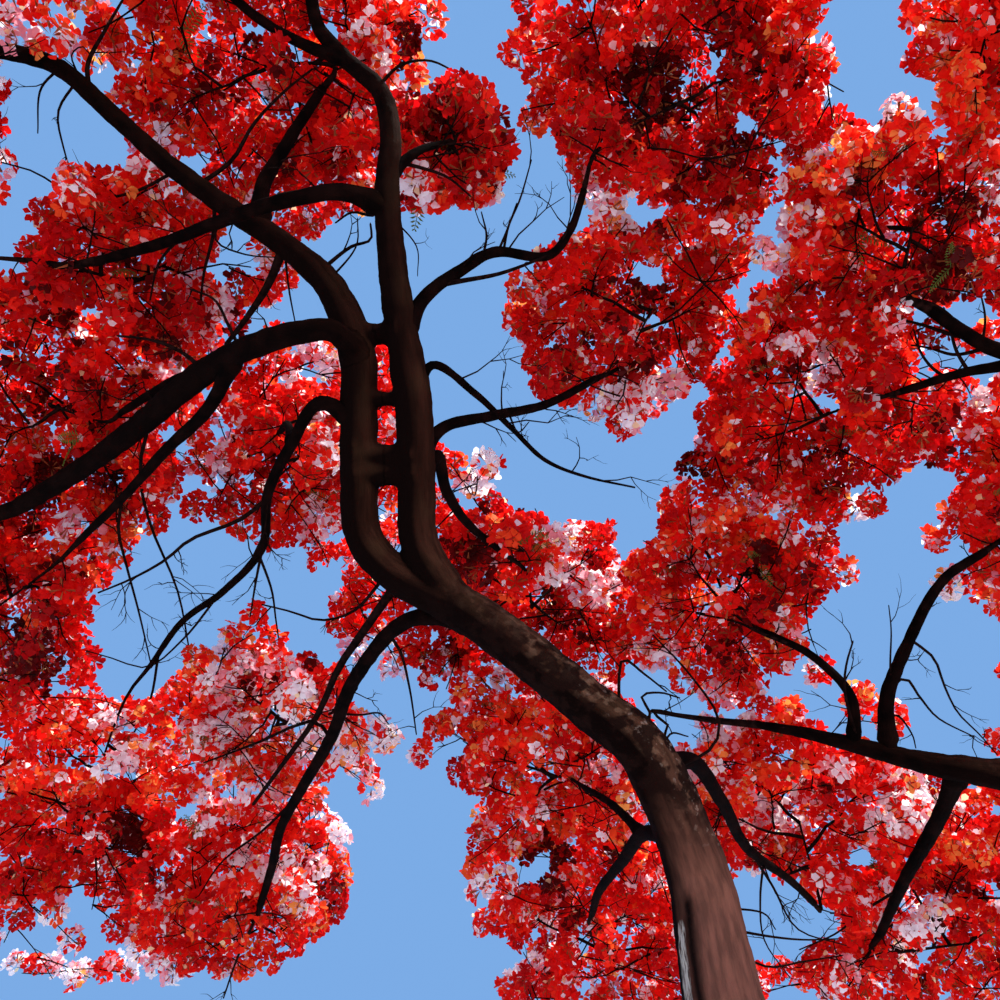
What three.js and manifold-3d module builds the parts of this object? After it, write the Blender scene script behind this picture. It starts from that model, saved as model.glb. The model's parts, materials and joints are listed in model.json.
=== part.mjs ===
// A flame tree in full blossom, about 9.2 m tall, in millimetres, +Z up.
// A leaning, winding trunk forks into two stems and a right-hand leader. Boughs leave these,
// and each bough carries one mass of blossom sprays at its tip.
// The origin is the centre of the flat cut under the trunk, at ground level.

import * as THREE from "three";
import { mergeVertices } from "three/addons/utils/BufferGeometryUtils.js";
import Module from "manifold-3d";

const wasm = await Module();
wasm.setup();

// Driving sizes
const seatGap = 0.3;
const collarSwell = 0.28;
const flareReach = 0.42;
const flareHeight = 360;
const flareLobes = 4;
const lobeDepth = 0.22;
const massGap = 60;
const limbClearance = 35;
const sprayRadius = 345;
const sprayRise = 85;
const sprayDrop = 50;
const sprayCorners = 4;
const sprigsPerMass = 12;
const sprigsPerSmallMass = 9;
const sprigStride = 5;
// Half-widths of a sprig's twig, by how many forks it is from the stem.
const twigRadii = [16, 11, 7.6];
const forkVolume = 60000;
const goldenTurn = Math.PI * (3 - Math.sqrt(5));
// Where along the stem of a mass, and along a sprig, later sprigs leave it.
const stemForks = [0.985, 0.86, 0.74, 0.62, 0.5];
const sprigForks = [0.58, 0.32];
// How far in towards the middle, and how far round, each try at placing a sprig moves it.
const sprigTries = [
  [1, 0],
  [0.92, 0.3],
  [0.92, -0.3],
  [0.8, 0.6],
  [0.8, -0.6],
  [0.66, 0],
  [0.66, 1],
  [0.66, -1],
  [0.5, 0.5],
  [0.5, 2.2],
  [0.5, -2.2],
];

const barkDark = { color: 0x3a231c, roughness: 0.9, metalness: 0 };
const barkTrunk = { color: 0x5a352a, roughness: 0.9, metalness: 0 };
const blossomRed = { color: 0xb80d0a, roughness: 0.7, metalness: 0 };

// Limbs, each after the one that carries it. share is how far along its parent a limb starts,
// girth is its diameter at shares of its own length, and through lists where it passes.
const limbs = [
  {
    name: "trunk",
    sides: 12,
    steps: 22,
    girth: [
      [0, 440],
      [0.3, 385],
      [0.58, 345],
      [0.69, 285],
      [0.8, 250],
      [0.96, 235],
      [1, 90],
    ],
    through: [
      [0, 0, 0],
      [10, 50, 800],
      [50, 130, 1800],
      [30, 120, 2800],
      [-30, 80, 3780],
      [-60, -90, 4250],
      [-220, -420, 4560],
      [-330, -550, 4680],
      [-550, -630, 4860],
      [-1000, -810, 5200],
      [-1500, -910, 5580],
    ],
  },
  {
    name: "leader_right",
    parent: "trunk",
    share: 0.35,
    sides: 8,
    steps: 14,
    girth: [
      [0, 270],
      [0.5, 235],
      [1, 120],
    ],
    through: [
      [380, 220, 2850],
      [980, 420, 3450],
      [1700, 620, 4050],
      [2400, 750, 4650],
      [2950, 700, 5300],
      [3300, 350, 6000],
      [3420, -250, 6500],
      [3750, -1000, 7000],
    ],
  },
  {
    name: "stem_right",
    parent: "trunk",
    share: 0.95,
    sides: 6,
    steps: 16,
    collar: 0.08,
    girth: [
      [0, 200],
      [0.1, 208],
      [0.3, 204],
      [0.38, 178],
      [0.55, 140],
      [0.75, 110],
      [1, 70],
    ],
    through: [
      [-1440, -1110, 5600],
      [-1460, -1430, 5800],
      [-1480, -1790, 6000],
      [-1550, -2110, 6250],
      [-1610, -2430, 6500],
      [-1640, -2740, 6720],
      [-1640, -3040, 7050],
      [-1720, -3230, 7300],
      [-1950, -3390, 7550],
      [-2150, -3580, 7800],
      [-2210, -3940, 8000],
    ],
  },
  {
    name: "stem_left",
    parent: "trunk",
    share: 0.94,
    sides: 6,
    steps: 16,
    collar: 0.08,
    girth: [
      [0, 195],
      [0.2, 206],
      [0.36, 206],
      [0.5, 155],
      [0.75, 115],
      [1, 100],
    ],
    bridges: [
      { share: 0.213, to: "stem_right", toShare: 0.179, diameter: 130 },
      { share: 0.234, to: "stem_right", toShare: 0.201, diameter: 130 },
      { share: 0.298, to: "stem_right", toShare: 0.274, diameter: 80 },
      { share: 0.374, to: "stem_right", toShare: 0.362, diameter: 120 },
    ],
    through: [
      [-1620, -980, 5560],
      [-1760, -1120, 5680],
      [-1790, -1410, 5850],
      [-1790, -1710, 6050],
      [-1810, -1990, 6250],
      [-2000, -2260, 6600],
      [-2320, -2430, 6900],
      [-2700, -2600, 7150],
      [-3070, -2820, 7320],
      [-3420, -3100, 7450],
      [-3720, -3340, 7550],
      [-4170, -3450, 7650],
    ],
  },
  {
    name: "bough_left",
    parent: "stem_left",
    share: 0.34,
    sides: 6,
    steps: 10,
    girth: [
      [0, 110],
      [0.3, 150],
      [0.6, 132],
      [1, 88],
    ],
    through: [
      [-1900, -2140, 6130],
      [-2080, -2140, 6120],
      [-2380, -2040, 6160],
      [-2720, -1830, 6300],
      [-3320, -1350, 6500],
      [-3950, -900, 6700],
      [-4620, -540, 6850],
      [-5300, -550, 7000],
    ],
  },
  {
    name: "bough_left_mid",
    parent: "bough_left",
    share: 0.26,
    girth: [
      [0, 75],
      [1, 48],
    ],
    through: [
      [-2930, -1730, 6450],
      [-3220, -1530, 6700],
      [-3500, -1340, 6850],
    ],
  },
  {
    name: "bough_left_under",
    parent: "bough_left",
    share: 0.2,
    girth: [
      [0, 82],
      [1, 48],
    ],
    through: [
      [-2700, -1640, 6240],
      [-3020, -1340, 6330],
      [-3490, -860, 6500],
      [-3940, -430, 6680],
    ],
  },
  {
    name: "bough_level",
    parent: "stem_right",
    share: 0.53,
    girth: [
      [0, 95],
      [1, 58],
    ],
    through: [
      [-1860, -2770, 6640],
      [-2190, -2730, 6640],
      [-2550, -2620, 6680],
      [-2980, -2460, 6800],
      [-3520, -2290, 7000],
    ],
  },
  {
    name: "bough_down",
    parent: "stem_left",
    share: 0.27,
    girth: [
      [0, 72],
      [1, 42],
    ],
    through: [
      [-1990, -1770, 6020],
      [-2220, -1450, 6120],
      [-2430, -1070, 6250],
      [-2600, -510, 6480],
      [-3020, 30, 6720],
      [-3420, 400, 6850],
      [-3810, 930, 6950],
    ],
  },
  {
    name: "bough_inner",
    parent: "bough_down",
    share: 0.17,
    girth: [
      [0, 55],
      [1, 42],
    ],
    through: [
      [-2320, -1410, 6500],
      [-2540, -1080, 7100],
    ],
  },
  {
    name: "bough_far_left",
    parent: "trunk",
    share: 0.92,
    girth: [
      [0, 95],
      [1, 60],
    ],
    through: [
      [-1500, -700, 5460],
      [-1870, -160, 5600],
      [-2100, 460, 5720],
      [-2350, 990, 5800],
      [-2600, 1530, 5870],
      [-2740, 2030, 5930],
      [-2930, 2610, 6000],
    ],
  },
  {
    name: "bough_pale",
    parent: "bough_far_left",
    share: 0.3,
    girth: [
      [0, 55],
      [1, 40],
    ],
    through: [
      [-1970, 180, 5850],
      [-2140, 590, 6150],
    ],
  },
  {
    name: "bough_link",
    parent: "stem_left",
    share: 0.58,
    girth: [
      [0, 98],
      [1, 62],
    ],
    through: [
      [-2470, -2690, 7200],
      [-2340, -2930, 7500],
      [-2160, -3200, 7850],
    ],
  },
  {
    name: "bough_top",
    parent: "stem_right",
    share: 0.81,
    girth: [
      [0, 75],
      [1, 50],
    ],
    through: [
      [-2260, -3470, 7750],
      [-2550, -3600, 7950],
      [-2780, -3760, 8100],
      [-3100, -4050, 8200],
    ],
  },
  {
    name: "bough_top_mid",
    parent: "stem_right",
    share: 0.58,
    girth: [
      [0, 60],
      [1, 40],
    ],
    through: [
      [-1490, -2930, 7000],
      [-1370, -2940, 7250],
    ],
  },
  {
    name: "bough_right_high",
    parent: "stem_right",
    share: 0.36,
    girth: [
      [0, 80],
      [1, 45],
    ],
    through: [
      [-1420, -2250, 6420],
      [-1230, -2340, 6620],
      [-1040, -2400, 6800],
      [-700, -2330, 7000],
      [-550, -2450, 7200],
      [-460, -2640, 7420],
    ],
  },
  {
    name: "bough_right_mid",
    parent: "stem_right",
    share: 0.19,
    girth: [
      [0, 70],
      [1, 48],
    ],
    through: [
      [-1340, -1610, 6000],
      [-1060, -1560, 6300],
      [-710, -1460, 6700],
      [-340, -1480, 7100],
    ],
  },
  {
    name: "bough_dead",
    parent: "stem_right",
    share: 0.27,
    girth: [
      [0, 50],
      [1, 14],
    ],
    through: [
      [-1380, -1950, 6120],
      [-1150, -1710, 6300],
      [-930, -1390, 6500],
      [-700, -1060, 6700],
      [-410, -830, 6900],
      [-20, -630, 7100],
    ],
  },
  {
    name: "bough_mid",
    parent: "stem_right",
    share: 0.17,
    girth: [
      [0, 75],
      [1, 48],
    ],
    through: [
      [-1360, -1480, 5930],
      [-1320, -1180, 6080],
      [-1200, -740, 6400],
      [-960, -310, 6700],
    ],
  },
  {
    name: "bough_far",
    parent: "trunk",
    share: 0.68,
    girth: [
      [0, 85],
      [1, 52],
    ],
    through: [
      [-200, 190, 4750],
      [-240, 960, 5150],
      [-300, 1720, 5500],
      [-280, 2500, 5850],
    ],
  },
  {
    name: "bough_far_mid",
    parent: "bough_far",
    share: 0.22,
    girth: [
      [0, 54],
      [1, 38],
    ],
    through: [
      [-300, 600, 5280],
      [-420, 1070, 5850],
    ],
  },
  {
    name: "bough_far_right",
    parent: "trunk",
    share: 0.74,
    girth: [
      [0, 85],
      [1, 50],
    ],
    through: [
      [-30, -320, 4780],
      [270, 270, 5020],
      [590, 1020, 5300],
      [1050, 1680, 5550],
      [1350, 2150, 5700],
    ],
  },
  {
    name: "bough_cross",
    parent: "leader_right",
    share: 0.56,
    sides: 6,
    steps: 8,
    girth: [
      [0, 235],
      [0.35, 185],
      [0.6, 120],
      [1, 52],
    ],
    through: [
      [2290, 440, 5300],
      [1970, 400, 5360],
      [1690, 430, 5460],
      [1370, 450, 5600],
      [1020, 510, 5800],
      [730, 600, 5980],
    ],
  },
  {
    name: "bough_right_out",
    parent: "bough_cross",
    share: 0.63,
    girth: [
      [0, 96],
      [1, 58],
    ],
    through: [
      [1500, 230, 5800],
      [1670, 10, 6050],
      [1990, -290, 6400],
      [2360, -390, 6620],
    ],
  },
  {
    name: "bough_right_in",
    parent: "bough_cross",
    share: 0.72,
    girth: [
      [0, 72],
      [1, 44],
    ],
    through: [
      [1290, 240, 5850],
      [1130, 160, 6150],
      [900, 220, 6500],
    ],
  },
  {
    name: "bough_right_low",
    parent: "bough_cross",
    share: 0.46,
    girth: [
      [0, 108],
      [1, 68],
    ],
    through: [
      [1880, 970, 5480],
      [1890, 1740, 5600],
      [1960, 2610, 5750],
    ],
  },
  {
    name: "bough_upper_right",
    parent: "leader_right",
    share: 0.79,
    sides: 6,
    steps: 7,
    girth: [
      [0, 140],
      [0.7, 115],
      [1, 80],
    ],
    through: [
      [3200, -900, 6700],
      [2570, -1610, 6950],
      [2200, -1730, 7050],
      [1850, -1920, 7200],
    ],
  },
  {
    name: "bough_right_side",
    parent: "bough_upper_right",
    share: 0.75,
    girth: [
      [0, 75],
      [1, 50],
    ],
    through: [
      [2110, -1540, 7050],
      [1790, -1340, 7200],
    ],
  },
  {
    name: "bough_top_right",
    parent: "leader_right",
    share: 0.86,
    girth: [
      [0, 96],
      [1, 58],
    ],
    through: [
      [3620, -1100, 6800],
      [3350, -2200, 7150],
      [2900, -3100, 7400],
    ],
  },
  {
    name: "bough_front_mid",
    parent: "bough_top_right",
    share: 0.69,
    girth: [
      [0, 68],
      [1, 45],
    ],
    through: [
      [3000, -3000, 7050],
      [2300, -4100, 7300],
      [1700, -4700, 7600],
    ],
  },
  {
    name: "bough_right_far",
    parent: "leader_right",
    share: 0.62,
    girth: [
      [0, 115],
      [1, 68],
    ],
    through: [
      [3400, 1000, 5700],
      [4000, 1250, 6100],
    ],
  },
];

// Blossom masses: the limb whose tip feeds each one, its centre, and how far it spreads
// sideways and up and down.
const masses = [
  { name: "blossom_top_left", limb: "bough_link", centre: [-2640, -3320, 8500], spread: 1200, depth: 750 },
  { name: "blossom_top_mid", limb: "bough_top_mid", centre: [-1340, -2820, 7850], spread: 400, depth: 380 },
  { name: "blossom_front_right", limb: "bough_right_high", centre: [250, -3090, 8400], spread: 1250, depth: 800 },
  { name: "blossom_mid_right", limb: "bough_right_mid", centre: [110, -1740, 8000], spread: 1080, depth: 720 },
  { name: "blossom_upper_right", limb: "bough_upper_right", centre: [1820, -2350, 7900], spread: 1120, depth: 780 },
  { name: "blossom_right_mid", limb: "bough_right_side", centre: [1460, -940, 7900], spread: 1150, depth: 750 },
  { name: "blossom_right_in", limb: "bough_right_in", centre: [820, 470, 7400], spread: 1050, depth: 700 },
  { name: "blossom_top_right", limb: "bough_top_right", centre: [2340, -3330, 7850], spread: 860, depth: 600 },
  { name: "blossom_right_out", limb: "bough_right_out", centre: [3180, -550, 7300], spread: 880, depth: 650 },
  { name: "blossom_left_high", limb: "bough_level", centre: [-3510, -2040, 7600], spread: 800, depth: 600 },
  { name: "blossom_left_low", limb: "bough_left_mid", centre: [-4160, -1250, 7400], spread: 1130, depth: 700 },
  { name: "blossom_left_mid", limb: "bough_inner", centre: [-2770, -440, 7900], spread: 780, depth: 550 },
  { name: "blossom_left_out", limb: "bough_left_under", centre: [-4940, 380, 7100], spread: 920, depth: 700 },
  { name: "blossom_far_left", limb: "bough_down", centre: [-4700, 2720, 6800], spread: 1250, depth: 750 },
  { name: "blossom_far_left_low", limb: "bough_far_left", centre: [-3270, 3240, 6600], spread: 980, depth: 800 },
  { name: "blossom_pale", limb: "bough_pale", centre: [-2810, 1370, 6900], spread: 720, depth: 500 },
  { name: "blossom_mid", limb: "bough_mid", centre: [-740, 670, 7600], spread: 1100, depth: 750 },
  { name: "blossom_far_mid", limb: "bough_far_mid", centre: [-570, 2000, 7000], spread: 980, depth: 750 },
  { name: "blossom_far", limb: "bough_far", centre: [-80, 3890, 6600], spread: 1150, depth: 850 },
  { name: "blossom_far_right_low", limb: "bough_far_right", centre: [1380, 1960, 6500], spread: 980, depth: 700 },
  { name: "blossom_far_right", limb: "bough_right_low", centre: [2860, 3020, 6200], spread: 1300, depth: 850 },
  { name: "blossom_left_tip", limb: "bough_left", centre: [-6050, -750, 7200], spread: 1050, depth: 700 },
  { name: "blossom_left_front", limb: "stem_left", centre: [-5200, -3450, 7500], spread: 1200, depth: 750 },
  { name: "blossom_front_left", limb: "bough_top", centre: [-3750, -4950, 7900], spread: 1200, depth: 800 },
  { name: "blossom_front", limb: "stem_right", centre: [-1450, -5200, 8250], spread: 1250, depth: 800 },
  { name: "blossom_front_mid", limb: "bough_front_mid", centre: [1100, -5150, 8000], spread: 1250, depth: 800 },
  { name: "blossom_right", limb: "leader_right", centre: [4450, -2100, 7350], spread: 1300, depth: 800 },
  { name: "blossom_right_far", limb: "bough_right_far", centre: [4750, 1350, 6700], spread: 1200, depth: 800 },
];

const vec = (p) => new THREE.Vector3(p[0], p[1], p[2]);

// A repeatable stream of numbers from 0 to 1.
function seeded(seed) {
  let state = seed >>> 0;
  return () => {
    state = (state + 0x6d2b79f5) >>> 0;
    let mixed = Math.imul(state ^ (state >>> 15), 1 | state);
    mixed = (mixed + Math.imul(mixed ^ (mixed >>> 7), 61 | mixed)) ^ mixed;
    return ((mixed ^ (mixed >>> 14)) >>> 0) / 4294967296;
  };
}

// The value at a share, between listed pairs of share and value.
function between(pairs, share) {
  for (let i = 1; i < pairs.length; i += 1) {
    const [fromShare, from] = pairs[i - 1];
    const [toShare, to] = pairs[i];
    if (share <= toShare) return from + ((to - from) * (share - fromShare)) / (toShare - fromShare);
  }
  return pairs[pairs.length - 1][1];
}

// A closed geometry as a solid.
function solidFrom(geometry) {
  const bare = geometry.clone();
  bare.deleteAttribute("normal");
  bare.deleteAttribute("uv");
  const merged = mergeVertices(bare, 1e-3);
  return new wasm.Manifold(
    new wasm.Mesh({
      numProp: 3,
      vertProperties: new Float32Array(merged.attributes.position.array),
      triVerts: new Uint32Array(merged.index.array),
    }),
  );
}

// A solid tube along a curve: radiusAt gives its radius at a share and a turn, and grow
// pushes its skin and its ends out.
function tube(curve, sides, steps, radiusAt, grow = 0) {
  const geometry = new THREE.CylinderGeometry(1, 1, 1, sides, steps);
  const frames = curve.computeFrenetFrames(steps, false);
  const skin = grow / Math.cos(Math.PI / sides);
  const place = geometry.attributes.position;
  for (let i = 0; i < place.count; i += 1) {
    const share = Math.min(1, Math.max(0, place.getY(i) + 0.5));
    const ring = Math.round(share * steps);
    const turn = Math.atan2(place.getZ(i), place.getX(i));
    const radius = radiusAt(share, turn) + skin;
    const end = ring === 0 ? -grow : ring === steps ? grow : 0;
    const at = curve
      .getPointAt(ring / steps)
      .addScaledVector(frames.normals[ring], place.getX(i) * radius)
      .addScaledVector(frames.binormals[ring], -place.getZ(i) * radius)
      .addScaledVector(frames.tangents[ring], end);
    place.setXYZ(i, at.x, at.y, at.z);
  }
  return geometry;
}

// Limb curves, found by name.
const curves = {};
for (const limb of limbs) {
  const points = limb.through.map(vec);
  if (limb.parent) points.unshift(curves[limb.parent].getPointAt(limb.share));
  curves[limb.name] = new THREE.CatmullRomCurve3(points, false, "centripetal");
}

// A limb's radius: its girth, with a collar where it leaves its parent, or the root flare.
function limbRadius(limb) {
  const length = curves[limb.name].getLength();
  const collar = limb.collar ?? collarSwell;
  return (share, turn) => {
    const radius = between(limb.girth, share) / 2;
    if (!limb.parent) {
      const flare = Math.exp((-share * length) / flareHeight);
      return radius * (1 + flare * (flareReach + lobeDepth * Math.cos(flareLobes * turn)));
    }
    const along = share * length;
    return radius * (1 + collar * Math.exp(-along / (limb.girth[0][1] * 1.6)));
  };
}

function limbGeometry(limb, grow) {
  const curve = curves[limb.name];
  const sides = limb.sides ?? 5;
  const steps = limb.steps ?? Math.max(3, Math.round(curve.getLength() / 420));
  const geometry = tube(curve, sides, steps, limbRadius(limb), grow);
  if (!limb.parent) {
    // The trunk's first ring and its cap lie flat on the ground.
    const place = geometry.attributes.position;
    const ringCount = sides + 1;
    const first = new THREE.Vector3();
    for (let i = 0; i < place.count; i += 1) {
      first.fromBufferAttribute(place, i);
      const inFirstRing = i >= steps * ringCount && i < (steps + 1) * ringCount;
      if (inFirstRing || first.z < 45) place.setZ(i, -grow);
    }
  }
  return geometry;
}

// A short bridge that grows from one stem to the skin of another.
function bridgeSolid(limb, bridge) {
  const from = curves[limb.name].getPointAt(bridge.share);
  const to = curves[bridge.to].getPointAt(bridge.toShare);
  const path = new THREE.LineCurve3(from, to);
  const waist = (share) => (bridge.diameter / 2) * (1 + 0.9 * (2 * share - 1) ** 2);
  return solidFrom(tube(path, 4, 2, waist));
}

function largest(solid) {
  const bodies = solid.decompose();
  return bodies.reduce((best, body) => (body.volume() > best.volume() ? body : best));
}

function boxesMeet(a, b) {
  const p = a.boundingBox();
  const q = b.boundingBox();
  return [0, 1, 2].every((k) => p.min[k] <= q.max[k] && q.min[k] <= p.max[k]);
}

// Each limb is cut clear of every limb before it, so it meets its parent at its collar.
const solids = {};
const grown = {};
const shields = {};
for (const limb of limbs) {
  let solid = solidFrom(limbGeometry(limb, 0));
  for (const bridge of limb.bridges ?? []) solid = solid.add(bridgeSolid(limb, bridge));
  for (const other of Object.keys(grown))
    if (boxesMeet(solid, grown[other])) solid = solid.subtract(grown[other]);
  solids[limb.name] = largest(solid);
  grown[limb.name] = solidFrom(limbGeometry(limb, seatGap));
  shields[limb.name] = solidFrom(limbGeometry(limb, limbClearance));
}

// Where each mass ends against its neighbours: a plane between each two centres.
function reachAlong(mass, direction) {
  const flat = mass.spread ** 2 * (direction.x ** 2 + direction.y ** 2);
  return Math.sqrt(flat + mass.depth ** 2 * direction.z ** 2);
}
function wallsOf(mass) {
  const centre = vec(mass.centre);
  return masses
    .filter((other) => other !== mass)
    .map((other) => {
      const direction = vec(other.centre).sub(centre);
      const apart = direction.length();
      direction.normalize();
      const mine = reachAlong(mass, direction);
      const theirs = reachAlong(other, direction);
      return { direction, limit: (apart * mine) / (mine + theirs) - massGap / 2 };
    });
}

// Whether a disc at a point, facing an axis, keeps inside a mass's walls.
function inWalls(mass, point, axis, radius, half) {
  const offset = point.clone().sub(vec(mass.centre));
  return mass.walls.every(({ direction, limit }) => {
    const cos = Math.abs(axis.dot(direction));
    const sin = Math.sqrt(Math.max(0, 1 - cos * cos));
    return offset.dot(direction) + radius * sin + half * cos <= limit;
  });
}

// The stem of a mass, from its limb's tip up to the heart of the mass.
function stemCurve(mass) {
  const curve = curves[mass.limb];
  const tip = curve.getPointAt(1);
  const heading = curve.getTangentAt(1);
  const heart = vec(mass.centre).add(new THREE.Vector3(0, 0, -0.3 * mass.depth));
  const away = heart.distanceTo(tip);
  const lead = tip.clone().addScaledVector(heading, 0.3 * away);
  return new THREE.CatmullRomCurve3(
    [tip.clone().addScaledVector(heading, -25), lead, heart],
    false,
    "centripetal",
  );
}

for (const mass of masses) {
  mass.walls = wallsOf(mass);
  mass.stem = stemCurve(mass);
  const tipGirth = limbs.find((limb) => limb.name === mass.limb).girth.at(-1)[1];
  mass.stemRadius = (share) => (tipGirth / 2) * 0.86 * (1 - share) + 25 * share;
  let solid = solidFrom(tube(mass.stem, 4, 3, mass.stemRadius));
  for (const limb of limbs)
    if (boxesMeet(solid, grown[limb.name])) solid = solid.subtract(grown[limb.name]);
  mass.stemSolid = largest(solid);
  mass.shield = solidFrom(tube(mass.stem, 4, 3, mass.stemRadius, limbClearance));
}

// A sprig: a thin square twig that opens at its end into a low, uneven dome of blossom.
// Its rows, from the top down, are the dome's crown, its rim, the neck and the twig's root.
function sprigGeometry(fork, target, axis, corners, turn, twigRadius) {
  const geometry = new THREE.CylinderGeometry(0, 1, 1, corners.length, 3);
  const neck = target.clone().addScaledVector(axis, -sprayDrop);
  const heading = neck.clone().sub(fork).normalize();
  const up = new THREE.Vector3(0, 1, 0);
  const facing = new THREE.Quaternion().setFromUnitVectors(up, axis);
  const bend = new THREE.Quaternion().setFromUnitVectors(axis, heading);
  const place = geometry.attributes.position;
  const at = new THREE.Vector3();
  for (let i = 0; i < place.count; i += 1) {
    const row = Math.round((0.5 - place.getY(i)) * 3);
    const round = Math.hypot(place.getX(i), place.getZ(i));
    const bearing = Math.atan2(place.getZ(i), place.getX(i));
    const corner = Math.round((bearing / (2 * Math.PI)) * corners.length + corners.length) % corners.length;
    const reach = round > 1e-6 ? (row === 1 ? corners[corner] : twigRadius) : 0;
    at.set(Math.cos(bearing + turn) * reach, 0, Math.sin(bearing + turn) * reach);
    if (row === 0) at.set(0, sprayRise, 0);
    at.applyQuaternion(facing);
    if (row >= 2) at.applyQuaternion(bend);
    at.add(row === 3 ? fork : row === 2 ? neck : target);
    place.setXYZ(i, at.x, at.y, at.z);
  }
  return geometry;
}

function meetsAny(solid, others) {
  return others.some((other) => boxesMeet(solid, other) && !solid.intersect(other).isEmpty());
}

// Whether a solid keeps clear of all limbs and of the other masses' stems.
function isClear(solid, mass) {
  for (const limb of limbs) {
    const shield = shields[limb.name];
    if (boxesMeet(solid, shield) && !solid.intersect(shield).isEmpty()) return false;
  }
  for (const other of masses)
    if (other !== mass && boxesMeet(solid, other.shield) && !solid.intersect(other.shield).isEmpty())
      return false;
  return true;
}

// Grows one mass: each sprig reaches for its place on the shell of the mass, and leaves the
// nearest free fork of the stem or of an earlier sprig. It keeps clear of earlier blossom.
function growMass(mass, seed) {
  const random = seeded(seed);
  const centre = vec(mass.centre);
  const firstBearing = random() * Math.PI * 2;
  const forks = stemForks.map((share) => ({ at: mass.stem.getPointAt(share), of: mass.stemSolid, order: 0 }));
  const grownSprigs = [];
  let solid = mass.stemSolid;
  const radius = Math.min(sprayRadius, mass.spread * 0.4);
  const sprigs = mass.spread < 800 ? sprigsPerSmallMass : sprigsPerMass;
  for (let k = 0; k < sprigs; k += 1) {
    const i = (k * sprigStride) % sprigs;
    for (const [pull, swing] of sprigTries) {
      const height = 0.95 - (1.5 * (i + 0.5)) / sprigs;
      const ring = Math.sqrt(1 - height * height);
      const bearing = firstBearing + i * goldenTurn + swing;
      const side = (mass.spread - radius * 0.85) * ring * pull;
      const target = centre.clone();
      target.x += Math.cos(bearing) * side;
      target.y += Math.sin(bearing) * side;
      target.z += (mass.depth - sprayRise) * height * (0.4 + 0.6 * pull);
      const cost = (fork) => {
        const drop = Math.max(0, fork.at.z - target.z);
        return fork.at.distanceTo(target) + 2 * drop;
      };
      const fork = forks.reduce((a, b) => (cost(a) <= cost(b) ? a : b));
      const heading = target.clone().sub(fork.at).normalize();
      const axis = new THREE.Vector3(
        Math.cos(bearing) * ring * 0.55,
        Math.sin(bearing) * ring * 0.55,
        0.8 + 0.4 * height,
      ).normalize();
      while (axis.dot(heading) < 0.3) axis.addScaledVector(heading, 0.2).normalize();
      const corners = Array.from({ length: sprayCorners }, () => radius * (0.82 + 0.36 * random()));
      const turn = random() * Math.PI;
      if (!inWalls(mass, target, axis, Math.max(...corners), sprayRise)) continue;
      const sprig = solidFrom(
        sprigGeometry(fork.at, target, axis, corners, turn, twigRadii[fork.order]),
      );
      if (!isClear(sprig, mass)) continue;
      if (meetsAny(sprig, grownSprigs.filter((other) => other !== fork.of))) continue;
      if (fork.of !== mass.stemSolid && meetsAny(sprig, [mass.stemSolid])) continue;
      if (sprig.intersect(fork.of).volume() > forkVolume) continue;
      solid = solid.add(sprig);
      grownSprigs.push(sprig);
      forks.splice(forks.indexOf(fork), 1);
      const neck = target.clone().addScaledVector(axis, -sprayDrop);
      if (fork.order < 2 && fork.at.distanceTo(neck) > 330)
        for (const share of sprigForks)
          forks.push({ at: fork.at.clone().lerp(neck, share), of: sprig, order: fork.order + 1 });
      break;
    }
  }
  return largest(solid);
}

function meshFrom(name, solid, look) {
  const made = largest(solid.simplify(0.05)).getMesh();
  const geometry = new THREE.BufferGeometry();
  geometry.setAttribute("position", new THREE.BufferAttribute(new Float32Array(made.vertProperties), 3));
  geometry.setIndex(new THREE.BufferAttribute(new Uint32Array(made.triVerts), 1));
  const mesh = new THREE.Mesh(geometry, new THREE.MeshStandardMaterial({ ...look, flatShading: true }));
  mesh.name = name;
  return mesh;
}

const tree = new THREE.Group();
tree.name = "flame_tree";
const wood = new THREE.Group();
const blossom = new THREE.Group();
for (const limb of limbs)
  wood.add(meshFrom(limb.name, solids[limb.name], limb.parent ? barkDark : barkTrunk));
masses.forEach((mass, index) => {
  blossom.add(meshFrom(mass.name, growMass(mass, 101 + index * 17), blossomRed));
});
tree.add(wood, blossom);

export default tree;
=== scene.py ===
# A flame tree in full blossom, seen from under its crown. Blender 4.5, in metres, +Z up.
# Bark with its relief replaces the trunk and limbs. Each mass of blossom is grown again by the
# rule of the part's source, and carried on to finer twigs, flowers and leaves.
import math

import bmesh
import bpy
import numpy as np
from mathutils import Matrix, Vector, noise
from mathutils.bvhtree import BVHTree
from mathutils.kdtree import KDTree
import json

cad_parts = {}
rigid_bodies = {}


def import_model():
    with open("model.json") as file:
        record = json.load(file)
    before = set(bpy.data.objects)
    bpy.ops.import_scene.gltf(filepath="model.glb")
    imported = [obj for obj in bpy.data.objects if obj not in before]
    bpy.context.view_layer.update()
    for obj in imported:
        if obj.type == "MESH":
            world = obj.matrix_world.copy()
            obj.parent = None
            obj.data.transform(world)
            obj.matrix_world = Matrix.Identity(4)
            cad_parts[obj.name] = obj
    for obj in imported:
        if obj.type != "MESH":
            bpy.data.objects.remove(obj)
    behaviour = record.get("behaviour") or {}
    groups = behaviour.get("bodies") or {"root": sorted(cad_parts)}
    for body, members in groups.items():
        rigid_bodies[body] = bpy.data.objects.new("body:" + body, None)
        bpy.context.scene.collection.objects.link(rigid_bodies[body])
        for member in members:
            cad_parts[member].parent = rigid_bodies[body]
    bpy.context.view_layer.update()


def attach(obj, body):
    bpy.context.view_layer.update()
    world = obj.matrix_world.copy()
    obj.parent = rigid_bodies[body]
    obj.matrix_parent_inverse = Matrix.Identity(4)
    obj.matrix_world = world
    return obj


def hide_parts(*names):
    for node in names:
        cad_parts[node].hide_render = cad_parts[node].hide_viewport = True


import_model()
scene = bpy.context.scene
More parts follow.
